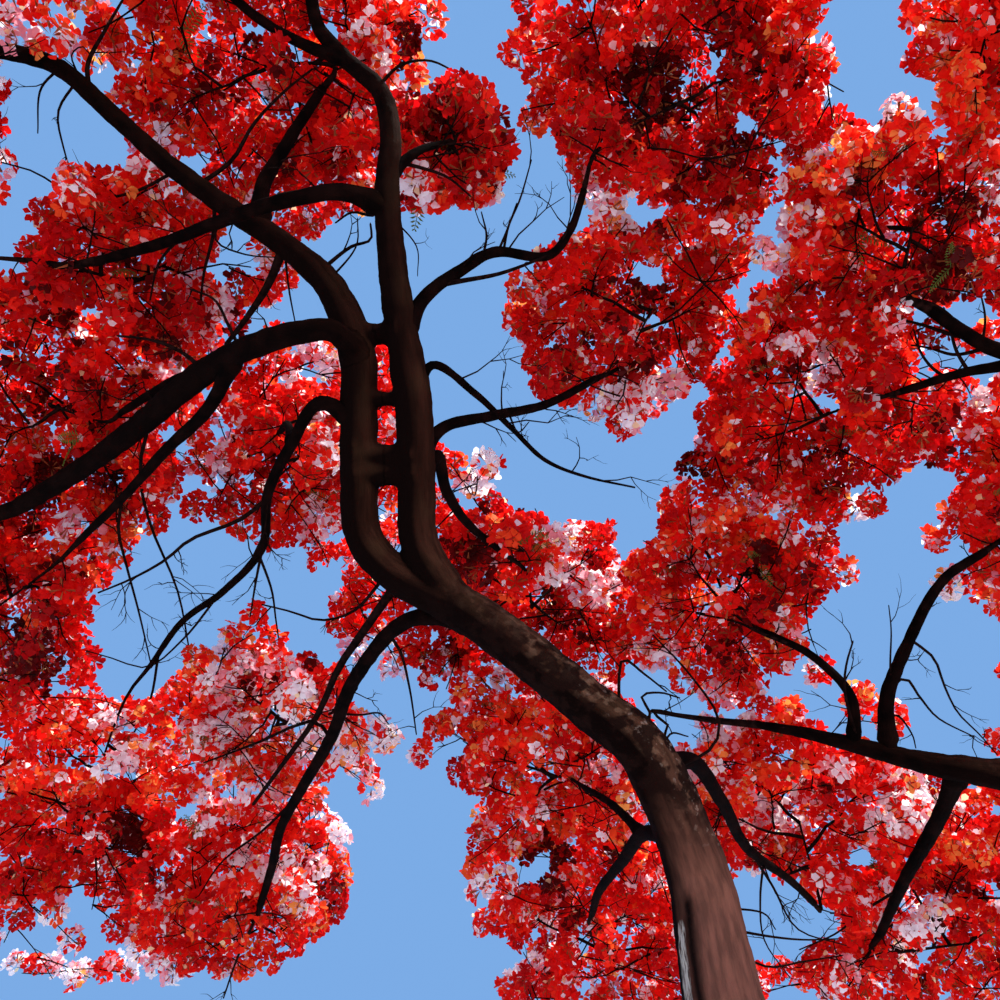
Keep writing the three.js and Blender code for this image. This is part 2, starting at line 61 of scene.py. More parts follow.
goldenTurn = math.pi * (3 - math.sqrt(5))
# One seed for each step that draws at random.
seedValues = {
    "joins": 515, "fills": 808, "finer": 4100, "carried": 5200, "bare": 77, "flowers": 2600,
    "petals": 31, "creamy": 44, "stalked": 12, "leaves": 900,
}


def drawsFor(step, index=0):
    return np.random.default_rng(seedValues[step] + index)



# Camera: someone standing under the crown looks steeply up into it.
cameraValues = {"eye": (-1.0, -3.7, 1.6), "pitch": 60, "viewAngle": 60, "sensor": 36, "farthest": 200}


def makeCamera(values):
    data = bpy.data.cameras.new("camera")
    data.sensor_width = values["sensor"]
    data.lens = values["sensor"] / 2 / math.tan(math.radians(values["viewAngle"] / 2))
    data.clip_end = values["farthest"]
    camera = bpy.data.objects.new("camera", data)
    camera.location = values["eye"]
    camera.rotation_euler = (math.radians(90 + values["pitch"]), 0, 0)
    scene.collection.objects.link(camera)
    scene.camera = camera


makeCamera(cameraValues)
print("camera placed")


# The rows of a table as dictionaries, by the names of their values.
def namedRows(rows, *names):
    return {key: dict(zip(names, row)) for key, row in rows.items()}


# Limbs, as in the part's source: each after the one that carries it. share is how far along its
# parent a limb starts, girth is its diameter at shares of its length, through is where it passes.
limbTable = namedRows({
    "trunk": (None, 0, [
        (0, 0.44), (0.3, 0.385), (0.58, 0.345), (0.69, 0.285), (0.8, 0.25), (0.96, 0.235), (1, 0.09),
    ], [
        (0, 0, 0), (0.01, 0.05, 0.8), (0.05, 0.13, 1.8), (0.03, 0.12, 2.8), (-0.03, 0.08, 3.78),
        (-0.06, -0.09, 4.25), (-0.22, -0.42, 4.56), (-0.33, -0.55, 4.68), (-0.55, -0.63, 4.86),
        (-1, -0.81, 5.2), (-1.5, -0.91, 5.58),
    ]),
    "leader_right": ("trunk", 0.35, [(0, 0.27), (0.5, 0.235), (1, 0.12)], [
        (0.38, 0.22, 2.85), (0.98, 0.42, 3.45), (1.7, 0.62, 4.05), (2.4, 0.75, 4.65), (2.95, 0.7, 5.3),
        (3.3, 0.35, 6), (3.42, -0.25, 6.5), (3.75, -1, 7),
    ]),
    "stem_right": ("trunk", 0.95, [
        (0, 0.2), (0.1, 0.208), (0.3, 0.204), (0.38, 0.178), (0.55, 0.14), (0.75, 0.11), (1, 0.07),
    ], [
        (-1.44, -1.11, 5.6), (-1.46, -1.43, 5.8), (-1.48, -1.79, 6), (-1.55, -2.11, 6.25),
        (-1.61, -2.43, 6.5), (-1.64, -2.74, 6.72), (-1.64, -3.04, 7.05), (-1.72, -3.23, 7.3),
        (-1.95, -3.39, 7.55), (-2.15, -3.58, 7.8), (-2.21, -3.94, 8),
    ]),
    "stem_left": ("trunk", 0.94, [
        (0, 0.195), (0.2, 0.206), (0.36, 0.206), (0.5, 0.155), (0.75, 0.115), (1, 0.1),
    ], [
        (-1.62, -0.98, 5.56), (-1.76, -1.12, 5.68), (-1.79, -1.41, 5.85), (-1.79, -1.71, 6.05),
        (-1.81, -1.99, 6.25), (-2, -2.26, 6.6), (-2.32, -2.43, 6.9), (-2.7, -2.6, 7.15),
        (-3.07, -2.82, 7.32), (-3.42, -3.1, 7.45), (-3.72, -3.34, 7.55), (-4.17, -3.45, 7.65),
    ]),
    "bough_left": ("stem_left", 0.34, [(0, 0.11), (0.3, 0.15), (0.6, 0.132), (1, 0.088)], [
        (-1.9, -2.14, 6.13), (-2.08, -2.14, 6.12), (-2.38, -2.04, 6.16), (-2.72, -1.83, 6.3),
        (-3.32, -1.35, 6.5), (-3.95, -0.9, 6.7), (-4.62, -0.54, 6.85), (-5.3, -0.55, 7),
    ]),
    "bough_left_mid": ("bough_left", 0.26, [(0, 0.075), (1, 0.048)], [
        (-2.93, -1.73, 6.45), (-3.22, -1.53, 6.7), (-3.5, -1.34, 6.85),
    ]),
    "bough_left_under": ("bough_left", 0.2, [(0, 0.082), (1, 0.048)], [
        (-2.7, -1.64, 6.24), (-3.02, -1.34, 6.33), (-3.49, -0.86, 6.5), (-3.94, -0.43, 6.68),
    ]),
    "bough_level": ("stem_right", 0.53, [(0, 0.095), (1, 0.058)], [
        (-1.86, -2.77, 6.64), (-2.19, -2.73, 6.64), (-2.55, -2.62, 6.68), (-2.98, -2.46, 6.8),
        (-3.52, -2.29, 7),
    ]),
    "bough_down": ("stem_left", 0.27, [(0, 0.072), (1, 0.042)], [
        (-1.99, -1.77, 6.02), (-2.22, -1.45, 6.12), (-2.43, -1.07, 6.25), (-2.6, -0.51, 6.48),
        (-3.02, 0.03, 6.72), (-3.42, 0.4, 6.85), (-3.81, 0.93, 6.95),
    ]),
    "bough_inner": ("bough_down", 0.17, [(0, 0.055), (1, 0.042)], [
        (-2.32, -1.41, 6.5), (-2.54, -1.08, 7.1),
    ]),
    "bough_far_left": ("trunk", 0.92, [(0, 0.095), (1, 0.06)], [
        (-1.5, -0.7, 5.46), (-1.87, -0.16, 5.6), (-2.1, 0.46, 5.72), (-2.35, 0.99, 5.8), (-2.6, 1.53, 5.87),
        (-2.74, 2.03, 5.93), (-2.93, 2.61, 6),
    ]),
    "bough_pale": ("bough_far_left", 0.3, [(0, 0.055), (1, 0.04)], [
        (-1.97, 0.18, 5.85), (-2.14, 0.59, 6.15),
    ]),
    "bough_link": ("stem_left", 0.58, [(0, 0.098), (1, 0.062)], [
        (-2.47, -2.69, 7.2), (-2.34, -2.93, 7.5), (-2.16, -3.2, 7.85),
    ]),
    "bough_top": ("stem_right", 0.81, [(0, 0.075), (1, 0.05)], [
        (-2.26, -3.47, 7.75), (-2.55, -3.6, 7.95), (-2.78, -3.76, 8.1), (-3.1, -4.05, 8.2),
    ]),
    "bough_top_mid": ("stem_right", 0.58, [(0, 0.06), (1, 0.04)], [
        (-1.49, -2.93, 7), (-1.37, -2.94, 7.25),
    ]),
    "bough_right_high": ("stem_right", 0.36, [(0, 0.08), (1, 0.045)], [
        (-1.42, -2.25, 6.42), (-1.23, -2.34, 6.62), (-1.04, -2.4, 6.8), (-0.7, -2.33, 7),
        (-0.55, -2.45, 7.2), (-0.46, -2.64, 7.42),
    ]),
    "bough_right_mid": ("stem_right", 0.19, [(0, 0.07), (1, 0.048)], [
        (-1.34, -1.61, 6), (-1.06, -1.56, 6.3), (-0.71, -1.46, 6.7), (-0.34, -1.48, 7.1),
    ]),
    "bough_dead": ("stem_right", 0.27, [(0, 0.05), (1, 0.014)], [
        (-1.38, -1.95, 6.12), (-1.15, -1.71, 6.3), (-0.93, -1.39, 6.5), (-0.7, -1.06, 6.7),
        (-0.41, -0.83, 6.9), (-0.02, -0.63, 7.1),
    ]),
    "bough_mid": ("stem_right", 0.17, [(0, 0.075), (1, 0.048)], [
        (-1.36, -1.48, 5.93), (-1.32, -1.18, 6.08), (-1.2, -0.74, 6.4), (-0.96, -0.31, 6.7),
    ]),
    "bough_far": ("trunk", 0.68, [(0, 0.085), (1, 0.052)], [
        (-0.2, 0.19, 4.75), (-0.24, 0.96, 5.15), (-0.3, 1.72, 5.5), (-0.28, 2.5, 5.85),
    ]),
    "bough_far_mid": ("bough_far", 0.22, [(0, 0.054), (1, 0.038)], [
        (-0.3, 0.6, 5.28), (-0.42, 1.07, 5.85),
    ]),
    "bough_far_right": ("trunk", 0.74, [(0, 0.085), (1, 0.05)], [
        (-0.03, -0.32, 4.78), (0.27, 0.27, 5.02), (0.59, 1.02, 5.3), (1.05, 1.68, 5.55), (1.35, 2.15, 5.7),
    ]),
    "bough_cross": ("leader_right", 0.56, [(0, 0.235), (0.35, 0.185), (0.6, 0.12), (1, 0.052)], [
        (2.29, 0.44, 5.3), (1.97, 0.4, 5.36), (1.69, 0.43, 5.46), (1.37, 0.45, 5.6), (1.02, 0.51, 5.8),
        (0.73, 0.6, 5.98),
    ]),
    "bough_right_out": ("bough_cross", 0.63, [(0, 0.096), (1, 0.058)], [
        (1.5, 0.23, 5.8), (1.67, 0.01, 6.05), (1.99, -0.29, 6.4), (2.36, -0.39, 6.62),
    ]),
    "bough_right_in": ("bough_cross", 0.72, [(0, 0.072), (1, 0.044)], [
        (1.29, 0.24, 5.85), (1.13, 0.16, 6.15), (0.9, 0.22, 6.5),
    ]),
    "bough_right_low": ("bough_cross", 0.46, [(0, 0.108), (1, 0.068)], [
        (1.88, 0.97, 5.48), (1.89, 1.74, 5.6), (1.96, 2.61, 5.75),
    ]),
    "bough_upper_right": ("leader_right", 0.79, [(0, 0.14), (0.7, 0.115), (1, 0.08)], [
        (3.2, -0.9, 6.7), (2.57, -1.61, 6.95), (2.2, -1.73, 7.05), (1.85, -1.92, 7.2),
    ]),
    "bough_right_side": ("bough_upper_right", 0.75, [(0, 0.075), (1, 0.05)], [
        (2.11, -1.54, 7.05), (1.79, -1.34, 7.2),
    ]),
    "bough_top_right": ("leader_right", 0.86, [(0, 0.096), (1, 0.058)], [
        (3.62, -1.1, 6.8), (3.35, -2.2, 7.15), (2.9, -3.1, 7.4),
    ]),
    "bough_front_mid": ("bough_top_right", 0.69, [(0, 0.068), (1, 0.045)], [
        (3, -3, 7.05), (2.3, -4.1, 7.3), (1.7, -4.7, 7.6),
    ]),
    "bough_right_far": ("leader_right", 0.62, [(0, 0.115), (1, 0.068)], [(3.4, 1, 5.7), (4, 1.25, 6.1)]),
}, "parent", "share", "girth", "through")
for stem in ("stem_right", "stem_left"):
    limbTable[stem]["collar"] = 0.08
# Bridges between the two stems: shares along the left and the right one, and the diameter.
limbTable["stem_left"]["bridges"] = [
    (0.213, 0.179, 0.13), (0.234, 0.201, 0.13), (0.298, 0.274, 0.08), (0.374, 0.362, 0.12),
]

# Masses of blossom: the limb that feeds each, its centre, and its spread sideways and up and down.
massTable = namedRows({
    "top_left": ("bough_link", (-2.64, -3.32, 8.5), 1.2, 0.75),
    "top_mid": ("bough_top_mid", (-1.34, -2.82, 7.85), 0.4, 0.38),
    "front_right": ("bough_right_high", (0.25, -3.09, 8.4), 1.25, 0.8),
    "mid_right": ("bough_right_mid", (0.11, -1.74, 8), 1.08, 0.72),
    "upper_right": ("bough_upper_right", (1.82, -2.35, 7.9), 1.12, 0.78),
    "right_mid": ("bough_right_side", (1.46, -0.94, 7.9), 1.15, 0.75),
    "right_in": ("bough_right_in", (0.82, 0.47, 7.4), 1.05, 0.7),
    "top_right": ("bough_top_right", (2.34, -3.33, 7.85), 0.86, 0.6),
    "right_out": ("bough_right_out", (3.18, -0.55, 7.3), 0.88, 0.65),
    "left_high": ("bough_level", (-3.51, -2.04, 7.6), 0.8, 0.6),
    "left_low": ("bough_left_mid", (-4.16, -1.25, 7.4), 1.13, 0.7),
    "left_mid": ("bough_inner", (-2.77, -0.44, 7.9), 0.78, 0.55),
    "left_out": ("bough_left_under", (-4.94, 0.38, 7.1), 0.92, 0.7),
    "far_left": ("bough_down", (-4.7, 2.72, 6.8), 1.25, 0.75),
    "far_left_low": ("bough_far_left", (-3.27, 3.24, 6.6), 0.98, 0.8),
    "pale": ("bough_pale", (-2.81, 1.37, 6.9), 0.72, 0.5),
    "mid": ("bough_mid", (-0.74, 0.67, 7.6), 1.1, 0.75),
    "far_mid": ("bough_far_mid", (-0.57, 2, 7), 0.98, 0.75),
    "far": ("bough_far", (-0.08, 3.89, 6.6), 1.15, 0.85),
    "far_right_low": ("bough_far_right", (1.38, 1.96, 6.5), 0.98, 0.7),
    "far_right": ("bough_right_low", (2.86, 3.02, 6.2), 1.3, 0.85),
    "left_tip": ("bough_left", (-6.05, -0.75, 7.2), 1.05, 0.7),
    "left_front": ("stem_left", (-5.2, -3.45, 7.5), 1.2, 0.75),
    "front_left": ("bough_top", (-3.75, -4.95, 7.9), 1.2, 0.8),
    "front": ("stem_right", (-1.45, -5.2, 8.25), 1.25, 0.8),
    "front_mid": ("bough_front_mid", (1.1, -5.15, 8), 1.25, 0.8),
    "right": ("leader_right", (4.45, -2.1, 7.35), 1.3, 0.8),
    "right_far": ("bough_right_far", (4.75, 1.35, 6.7), 1.2, 0.8),
}, "limb", "centre", "spread", "depth")


def unit(v):
    return v / np.linalg.norm(v, axis=-1, keepdims=True)


def turned(bearing, size=1.0, rise=0.0):
    return math.cos(bearing) * size, math.sin(bearing) * size, rise


# The axis that lies furthest from each direction, and two directions across each.
def leastAxis(ways):
    return np.eye(3)[np.argmin(np.abs(ways), axis=-1)]


def acrossEach(ways, least):
    first = unit(np.cross(ways, least))
    return first, np.cross(ways, first)


# Rings of corners round centres.
def ringsRound(centres, normals, binormals, radii, sides):
    turns = (np.arange(sides) * 2 * math.pi / sides)[:, None]
    across = normals[..., None, :] * np.cos(turns) + binormals[..., None, :] * np.sin(turns)
    return centres[..., None, :] + across * np.asarray(radii)[..., None, None]


# A smooth centripetal curve through points, as a fine line with its lengths.
def curveThrough(points, fineness=28):
    knots = [np.array(p, float) for p in points]
    knots = [2 * knots[0] - knots[1], *knots, 2 * knots[-1] - knots[-2]]
    w = np.linspace(0, 1, fineness, endpoint=False)[:, None]
    line = []
    for p0, p1, p2, p3 in zip(knots, knots[1:], knots[2:], knots[3:]):
        d0, d1, d2 = (math.sqrt(np.linalg.norm(b - a)) for a, b in ((p0, p1), (p1, p2), (p2, p3)))
        t1 = ((p1 - p0) / d0 - (p2 - p0) / (d0 + d1) + (p2 - p1) / d1) * d1
        t2 = ((p2 - p1) / d1 - (p3 - p1) / (d1 + d2) + (p3 - p2) / d2) * d1
        line.extend(p1 + t1 * w + (3 * (p2 - p1) - 2 * t1 - t2) * w**2 + (2 * (p1 - p2) + t1 + t2) * w**3)
    line = np.array([*line, knots[-2]])
    along = np.concatenate([[0], np.cumsum(np.linalg.norm(np.diff(line, axis=0), axis=1))])
    return {"line": line, "along": along, "length": along[-1]}


def pointsAt(curve, shares):
    want = np.asarray(shares, float) * curve["length"]
    return np.stack([np.interp(want, curve["along"], curve["line"][:, k]) for k in range(3)], axis=-1)


def headingsAt(curve, shares):
    shares = np.asarray(shares, float)
    nudge = 0.01 / curve["length"]
    ahead = pointsAt(curve, np.minimum(shares + nudge, 1))
    behind = pointsAt(curve, np.maximum(shares - nudge, 0))
    return unit(ahead - behind)


# Two directions across a curve at each heading, carried along without twist.
def crossAxes(headings, normal=None):
    if normal is None:
        normal = -np.cross(headings[0], np.cross(headings[0], leastAxis(headings[0])))
    normals = []
    for heading in headings:
        normal = unit(normal - heading * np.dot(normal, heading))
        normals.append(normal)
    normals = np.array(normals)
    return normals, np.cross(headings, normals)


for limb in limbTable.values():
    root = [pointsAt(limbTable[limb["parent"]]["curve"], limb["share"])] if limb["parent"] else []
    limb["curve"] = curveThrough(root + limb["through"])

# Bark: the thick wood is remeshed so that it runs together with a fillet at every fork, then gets
# its relief. Thinner boughs are tubes that swell where they leave the bark of what carries them.
barkValues = {
    "collarSwell": 0.28,
    "collarReach": 1.6,
    "rootShare": 0.86,
    "rootOpening": 0.5,
    "flareReach": 0.42,
    "flareHeight": 0.36,
    "flareLobes": 4,
    "lobeDepth": 0.22,
    "sides": {"bark": 36, "bough": 14, "bridge": 12},
    "ringSpacing": 0.03,
    "bridgeWaist": 0.9,
    "belowCut": 0.12,
    "voxel": 0.0146,
    "smoothPasses": 3,
    "footSwell": 0.55,
    "footReach": 0.06,
    "smoothShare": 0.5,
    "seam": 1e-5,
    "sampleSpacing": 0.016,
    "nearest": 5,
    "grainApart": 7,
    "throughCollar": 0.1,
    "throughSteps": 200,
    "mostLost": 0.2,
    "swell": 0.05,
    "swellScale": (1.3, 1.1),
    "knots": 0.045,
    "knotScale": 2.7,
    "lumps": 0.0065,
    "lumpScale": 11,
    "lumpGirth": 0.06,
    "wrinkles": 0.0030,
    "wrinkleScale": (2.2, 34),
    "wrinkleGirth": 0.08,
    "fullGirth": 0.17,
    # The way toward the light that is painted into the bark's colour: lit on one side, shaded on the other.
    "paintedLightWay": (0.62, -0.70, 0.12),
    "grainPitch": 0.16,
}
trunkGroup = ["trunk", "stem_right", "stem_left", "bough_left"]
leaderGroup = ["leader_right", "bough_cross", "bough_upper_right"]
thinGroup = [name for name in limbTable if name not in trunkGroup + leaderGroup]


# A limb's radius at shares of its length, with the collar where it leaves its parent.
def limbRadii(limb, shares):
    girthShares, girths = zip(*limb["girth"])
    radii = np.interp(shares, girthShares, girths) / 2
    if not limb["parent"]:
        return radii
    along = np.asarray(shares) * limb["curve"]["length"]
    collar = limb.get("collar", barkValues["collarSwell"])
    return radii * (1 + collar * np.exp(-along / (girths[0] * barkValues["collarReach"])))


# The same as drawn: its root stays inside its parent's bark, and a bough that is no part of a
# remesh widens just outside it.
def drawnRadii(limb, shares, swell=0.0):
    radii = limbRadii(limb, shares)
    if not limb["parent"]:
        return radii
    bark = limbRadii(limbTable[limb["parent"]], limb["share"])
    outside = np.maximum(0, np.asarray(shares) * limb["curve"]["length"] - bark)
    radii = radii * (1 + swell * np.exp(-outside / barkValues["footReach"]))
    return np.minimum(radii, barkValues["rootShare"] * bark + outside * barkValues["rootOpening"])


# How much the root flare widens the trunk, by height and by turn round it.
def flareAt(along, turn):
    values = barkValues
    lobes = values["flareReach"] + values["lobeDepth"] * np.cos(values["flareLobes"] * turn)
    return 1 + np.exp(-np.maximum(along, 0) / values["flareHeight"]) * lobes


# Adds a closed tube to a bmesh: a grid rolled round a curve, its seam merged and its ends filled.
def addTube(bm, curve, radiiAt, sides, flared=False):
    steps = max(4, round(curve["length"] / barkValues["ringSpacing"]))
    shares = np.linspace(0, 1, steps + 1)
    centres = pointsAt(curve, shares)
    headings = headingsAt(curve, shares)
    normals, binormals = crossAxes(headings)
    radii = radiiAt(shares)
    if flared:
        centres[0] -= headings[0] * barkValues["belowCut"]
    made = bmesh.ops.create_grid(bm, x_segments=sides, y_segments=steps, size=1)["verts"]
    for vert in made:
        row = round((vert.co.y + 1) / 2 * steps)
        turn = (vert.co.x + 1) * math.pi
        radius = radii[row]
        if flared:
            radius = radius * flareAt(shares[row] * curve["length"], turn)
        across = normals[row] * math.cos(turn) + binormals[row] * math.sin(turn)
        vert.co = centres[row] + across * radius
    bmesh.ops.remove_doubles(bm, verts=made, dist=barkValues["seam"])
    rimEdges = [edge for edge in bm.edges if edge.is_boundary]
    bmesh.ops.holes_fill(bm, edges=rimEdges, sides=0)


def addBridges(bm, limb):
    values = barkValues
    for share, farShare, diameter in limb.get("bridges", []):
        ends = [pointsAt(limb["curve"], share), pointsAt(limbTable["stem_right"]["curve"], farShare)]
        waist = lambda shares: diameter / 2 * (1 + values["bridgeWaist"] * (2 * shares - 1) ** 2)
        addTube(bm, curveThrough(ends), waist, values["sides"]["bridge"])


def objectFrom(name, bm):
    mesh = bpy.data.meshes.new(name)
    bm.to_mesh(mesh)
    bm.free()
    made = bpy.data.objects.new(name, mesh)
    scene.collection.objects.link(made)
    return made


# Hides the solids that a piece stands for and puts it on what it rides on.
def asPiece(made, nodes):
    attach(made, "root")
    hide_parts(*nodes)
    print(made.name, "has", len(made.data.polygons), "faces")
    return made


# Closely spaced samples of the limbs, to find which one a point of the bark belongs to. A stem
# carries the trunk's frame and length on, so that the bark's grain runs through.
def limbSamples(names, spacing, radiiOf=limbRadii):
    keys = ("at", "radius", "normal", "binormal", "along", "reached", "limb")
    fields = {key: [] for key in keys}
    for index, name in enumerate(names):
        limb = limbTable[name]
        shares = np.linspace(0, 1, max(4, round(limb["curve"]["length"] / spacing)))
        normal = None
        start = index * barkValues["grainApart"]
        if limb.get("collar", 1) < barkValues["throughCollar"]:
            parentCurve = limbTable[limb["parent"]]["curve"]
            before = np.linspace(0, limb["share"], barkValues["throughSteps"])
            normal = crossAxes(headingsAt(parentCurve, before))[0][-1]
            start = parentCurve["length"] * limb["share"]
        normals, binormals = crossAxes(headingsAt(limb["curve"], shares), normal)
        along = shares * limb["curve"]["length"]
        found = (
            pointsAt(limb["curve"], shares), radiiOf(limb, shares), normals, binormals,
            along, start + along, np.full(len(shares), index),
        )
        for key, part in zip(keys, found):
            fields[key].append(part)
    return {key: np.concatenate(parts) for key, parts in fields.items()}


# Marks down the trunk: a pale scar and, beside it, a dark run that is painted shade for the gap there, by
# the way they face and their ends.
markValues = {
    "scar": {"facing": (-0.93, -0.37), "halfWidth": 0.027, "foot": 2.9, "top": 4.08},
    "run": {"facing": (-0.72, -0.69), "halfWidth": 0.034, "foot": 2.6, "top": 4.16},
}
markEdges = {
    "wander": 0.25,
    "wanderAt": (0.3, 0.7),
    "wanderScale": 3.1,
    "leastFacing": 0.3,
    "topFade": 0.06,
    "footFade": 0.5,
}


def markAt(mark, place, out):
    edges = markEdges
    facing = unit(np.array(mark["facing"]))
    wanderPlace = Vector((*edges["wanderAt"], place.z * edges["wanderScale"]))
    wander = edges["wander"] * noise.noise(wanderPlace)
    across = (out[0] * facing[1] - out[1] * facing[0]) / mark["halfWidth"] + wander
    if out[0] * facing[0] + out[1] * facing[1] < edges["leastFacing"] * math.hypot(out[0], out[1]):
        return 0
    above = min(1, max(0, (mark["top"] - place.z) / edges["topFade"]))
    below = min(1, max(0, (place.z - mark["foot"]) / edges["footFade"]))
    return math.exp(-across * across) * (above * below)


# Brings smoothed bark back to its girth, then gives it slow swellings, lumps and fine wrinkles.
def reliefOn(bm, names, remeshed):
    values = barkValues
    samples = limbSamples(names, values["sampleSpacing"], drawnRadii)
    tree = KDTree(len(samples["at"]))
    for i, at in enumerate(samples["at"]):
        tree.insert(at, i)
    tree.balance()
    girthLayer = bm.verts.layers.float.new("girth")
    paintedLightLayer = bm.verts.layers.float.new("bright")
    grainLayer = bm.verts.layers.float_vector.new("grain")
    marks = {name: bm.verts.layers.float.new(name) for name in markValues}
    paintedLightWay = Vector(values["paintedLightWay"]).normalized()
    bm.normal_update()
    for vert in bm.verts:
        place = vert.co.copy()
        found = tree.find_n(place, values["nearest"])
        near = min(found, key=lambda hit: hit[2] - samples["radius"][hit[1]])
        i = near[1]
        radius = samples["radius"][i]
        out = np.array(place) - samples["at"][i]
        turn = math.atan2(out @ samples["binormal"][i], out @ samples["normal"][i])
        along = samples["along"][i]
        reached = samples["reached"][i]
        onTrunk = names[samples["limb"][i]] == "trunk"
        if onTrunk:
            radius = radius * flareAt(along, turn)
        lost = min(max(radius - near[2], 0), values["mostLost"] * radius) if remeshed else 0
        roundScale, alongScale = values["swellScale"]
        ring = Vector(turned(turn, roundScale, reached * alongScale))
        swell = noise.noise(ring) * values["swell"] * radius
        swell += noise.noise(ring * values["knotScale"]) * values["knots"] * radius
        lumps = noise.noise(place * values["lumpScale"]) * values["lumps"]
        lumps = lumps * min(1, radius / values["lumpGirth"])
        roundScale, alongScale = values["wrinkleScale"]
        across = Vector(turned(turn, roundScale, reached * alongScale))
        wrinkles = noise.noise(across) * values["wrinkles"] * min(1, radius / values["wrinkleGirth"])
        vert.co = place + vert.normal * (lost + swell + lumps + wrinkles)
        vert[girthLayer] = min(1, radius / values["fullGirth"])
        # How far each point faces that light: it sets where the bark is painted lit and where it is painted
        # shade.
        vert[paintedLightLayer] = vert.normal.dot(paintedLightWay)
        vert[grainLayer] = turned(turn, radius, reached * values["grainPitch"])
        for name, mark in markValues.items():
            vert[marks[name]] = markAt(mark, place, out) if onTrunk else 0


def finishBark(name, bm, names):
    for face in bm.faces:
        face.smooth = True
    return asPiece(objectFrom(name, bm), names)


# The plain tubes of some limbs.
def tubesOf(names, sides, swell=0.0):
    bm = bmesh.new()
    for name in names:
        limb = limbTable[name]
        radiiAt = lambda shares: drawnRadii(limb, shares, swell)
        addTube(bm, limb["curve"], radiiAt, sides, not limb["parent"])
        addBridges(bm, limb)
    bmesh.ops.recalc_face_normals(bm, faces=bm.faces)
    return bm


def makeBark(name, names):
    rough = objectFrom(name + "_rough", tubesOf(names, barkValues["sides"]["bark"]))
    remesh = rough.modifiers.new("join", "REMESH")
    remesh.mode = "VOXEL"
    remesh.voxel_size = barkValues["voxel"]
    fused = rough.evaluated_get(bpy.context.evaluated_depsgraph_get())
    bm = bmesh.new()
    bm.from_mesh(fused.to_mesh())
    bpy.data.objects.remove(rough)
    for _ in range(barkValues["smoothPasses"]):
        bmesh.ops.smooth_vert(
            bm, verts=bm.verts, factor=barkValues["smoothShare"],
            use_axis_x=True, use_axis_y=True, use_axis_z=True,
        )
    reliefOn(bm, names, True)
    if "trunk" in names:
        whole = bm.verts[:] + bm.edges[:] + bm.faces[:]
        bmesh.ops.bisect_plane(bm, geom=whole, plane_co=(0, 0, 0), plane_no=(0, 0, 1), clear_inner=True)
        bmesh.ops.holes_fill(bm, edges=[edge for edge in bm.edges if edge.is_boundary], sides=0)
    return finishBark(name, bm, names)


def makeBoughs(name, names):
    bm = tubesOf(names, barkValues["sides"]["bough"], barkValues["footSwell"])
    reliefOn(bm, names, False)
    return finishBark(name, bm, names)


trunkBark = makeBark("bark_trunk", trunkGroup)
leaderBark = makeBark("bark_leader", leaderGroup)
boughBark = makeBoughs("bark_boughs", thinGroup)

# Growth of the masses: the rule of the part's source, with its own stream of numbers.
growthValues = {
    "firstSeed": 101,
    "seedStep": 17,
    "sprigs": 12,
    "sprigsSmall": 9,
    "smallSpread": 0.8,
    "heights": (0.95, 1.5),
    "stand": (0.8, 0.4),
    "lean": 0.55,
    "reaches": (0.82, 0.36),
    "longEnough": 0.33,
    "agree": 0.3,
    "shellShare": 0.85,
    "pullShares": (0.4, 0.6),
    "leanStep": 0.2,
    "uphill": 2,
    "stride": 5,
    "radius": 0.345,
    "radiusShare": 0.4,
    "rise": 0.085,
    "drop": 0.05,
    "gap": 0.06,
    "clearance": 0.035,
    "twigRadii": (0.016, 0.011, 0.0076),
    "stemEnd": 0.025,
    "stemForks": (0.985, 0.86, 0.74, 0.62, 0.5),
    "sprigForks": (0.58, 0.32),
    "tries": (
        (1, 0), (0.92, 0.3), (0.92, -0.3), (0.8, 0.6), (0.8, -0.6), (0.66, 0),
        (0.66, 1), (0.66, -1), (0.5, 0.5), (0.5, 2.2), (0.5, -2.2),
    ),
}


# The same repeatable stream of numbers from 0 to 1 as in the part's source.
def seeded(seed):
    whole = 0xFFFFFFFF
    state = seed

    def draw():
        nonlocal state
        state = (state + 0x6D2B79F5) & whole
        mixed = ((state ^ (state >> 15)) * (1 | state)) & whole
        mixed = ((mixed + (((mixed ^ (mixed >> 7)) * (61 | mixed)) & whole)) & whole) ^ mixed
        return ((mixed ^ (mixed >> 14)) & whole) / 4294967296

    return draw


# A tube's corners and faces, for telling whether two things meet.
def tubeTree(curve, radii, sides):
    shares = np.linspace(0, 1, len(radii))
    normals, binormals = crossAxes(headingsAt(curve, shares))
    corners = ringsRound(pointsAt(curve, shares), normals, binormals, radii, sides).reshape(-1, 3)
    faces = []
    for low in range(0, (len(radii) - 1) * sides, sides):
        for side in range(sides):
            nextSide = (side + 1) % sides
            faces.append((low + side, low + nextSide, low + sides + nextSide, low + sides + side))
    return BVHTree.FromPolygons(corners.tolist(), faces)


# How far a mass reaches along a direction.
def reachOf(mass, direction):
    flat = direction[0] ** 2 + direction[1] ** 2
    return math.sqrt(mass["spread"] ** 2 * flat + mass["depth"] ** 2 * direction[2] ** 2)


# Where each mass ends against its neighbours: a plane between each two centres.
def wallsOf(mass):
    directions = []
    limits = []
    for other in massTable.values():
        if other is mass:
            continue
        offset = np.array(other["centre"]) - np.array(mass["centre"])
        apart = np.linalg.norm(offset)
        direction = offset / apart
        mine = reachOf(mass, direction)
        theirs = reachOf(other, direction)
        directions.append(direction)
        limits.append(apart * mine / (mine + theirs) - growthValues["gap"] / 2)
    return np.array(directions), np.array(limits)


def inWalls(mass, point, axis, radius, half):
    directions, limits = mass["walls"]
    cos = np.abs(directions @ np.asarray(axis))
    sin = np.sqrt(np.maximum(0, 1 - cos * cos))
    reach = directions @ (np.asarray(point) - mass["centre"]) + radius * sin + half * cos
    return bool(np.all(reach <= limits))


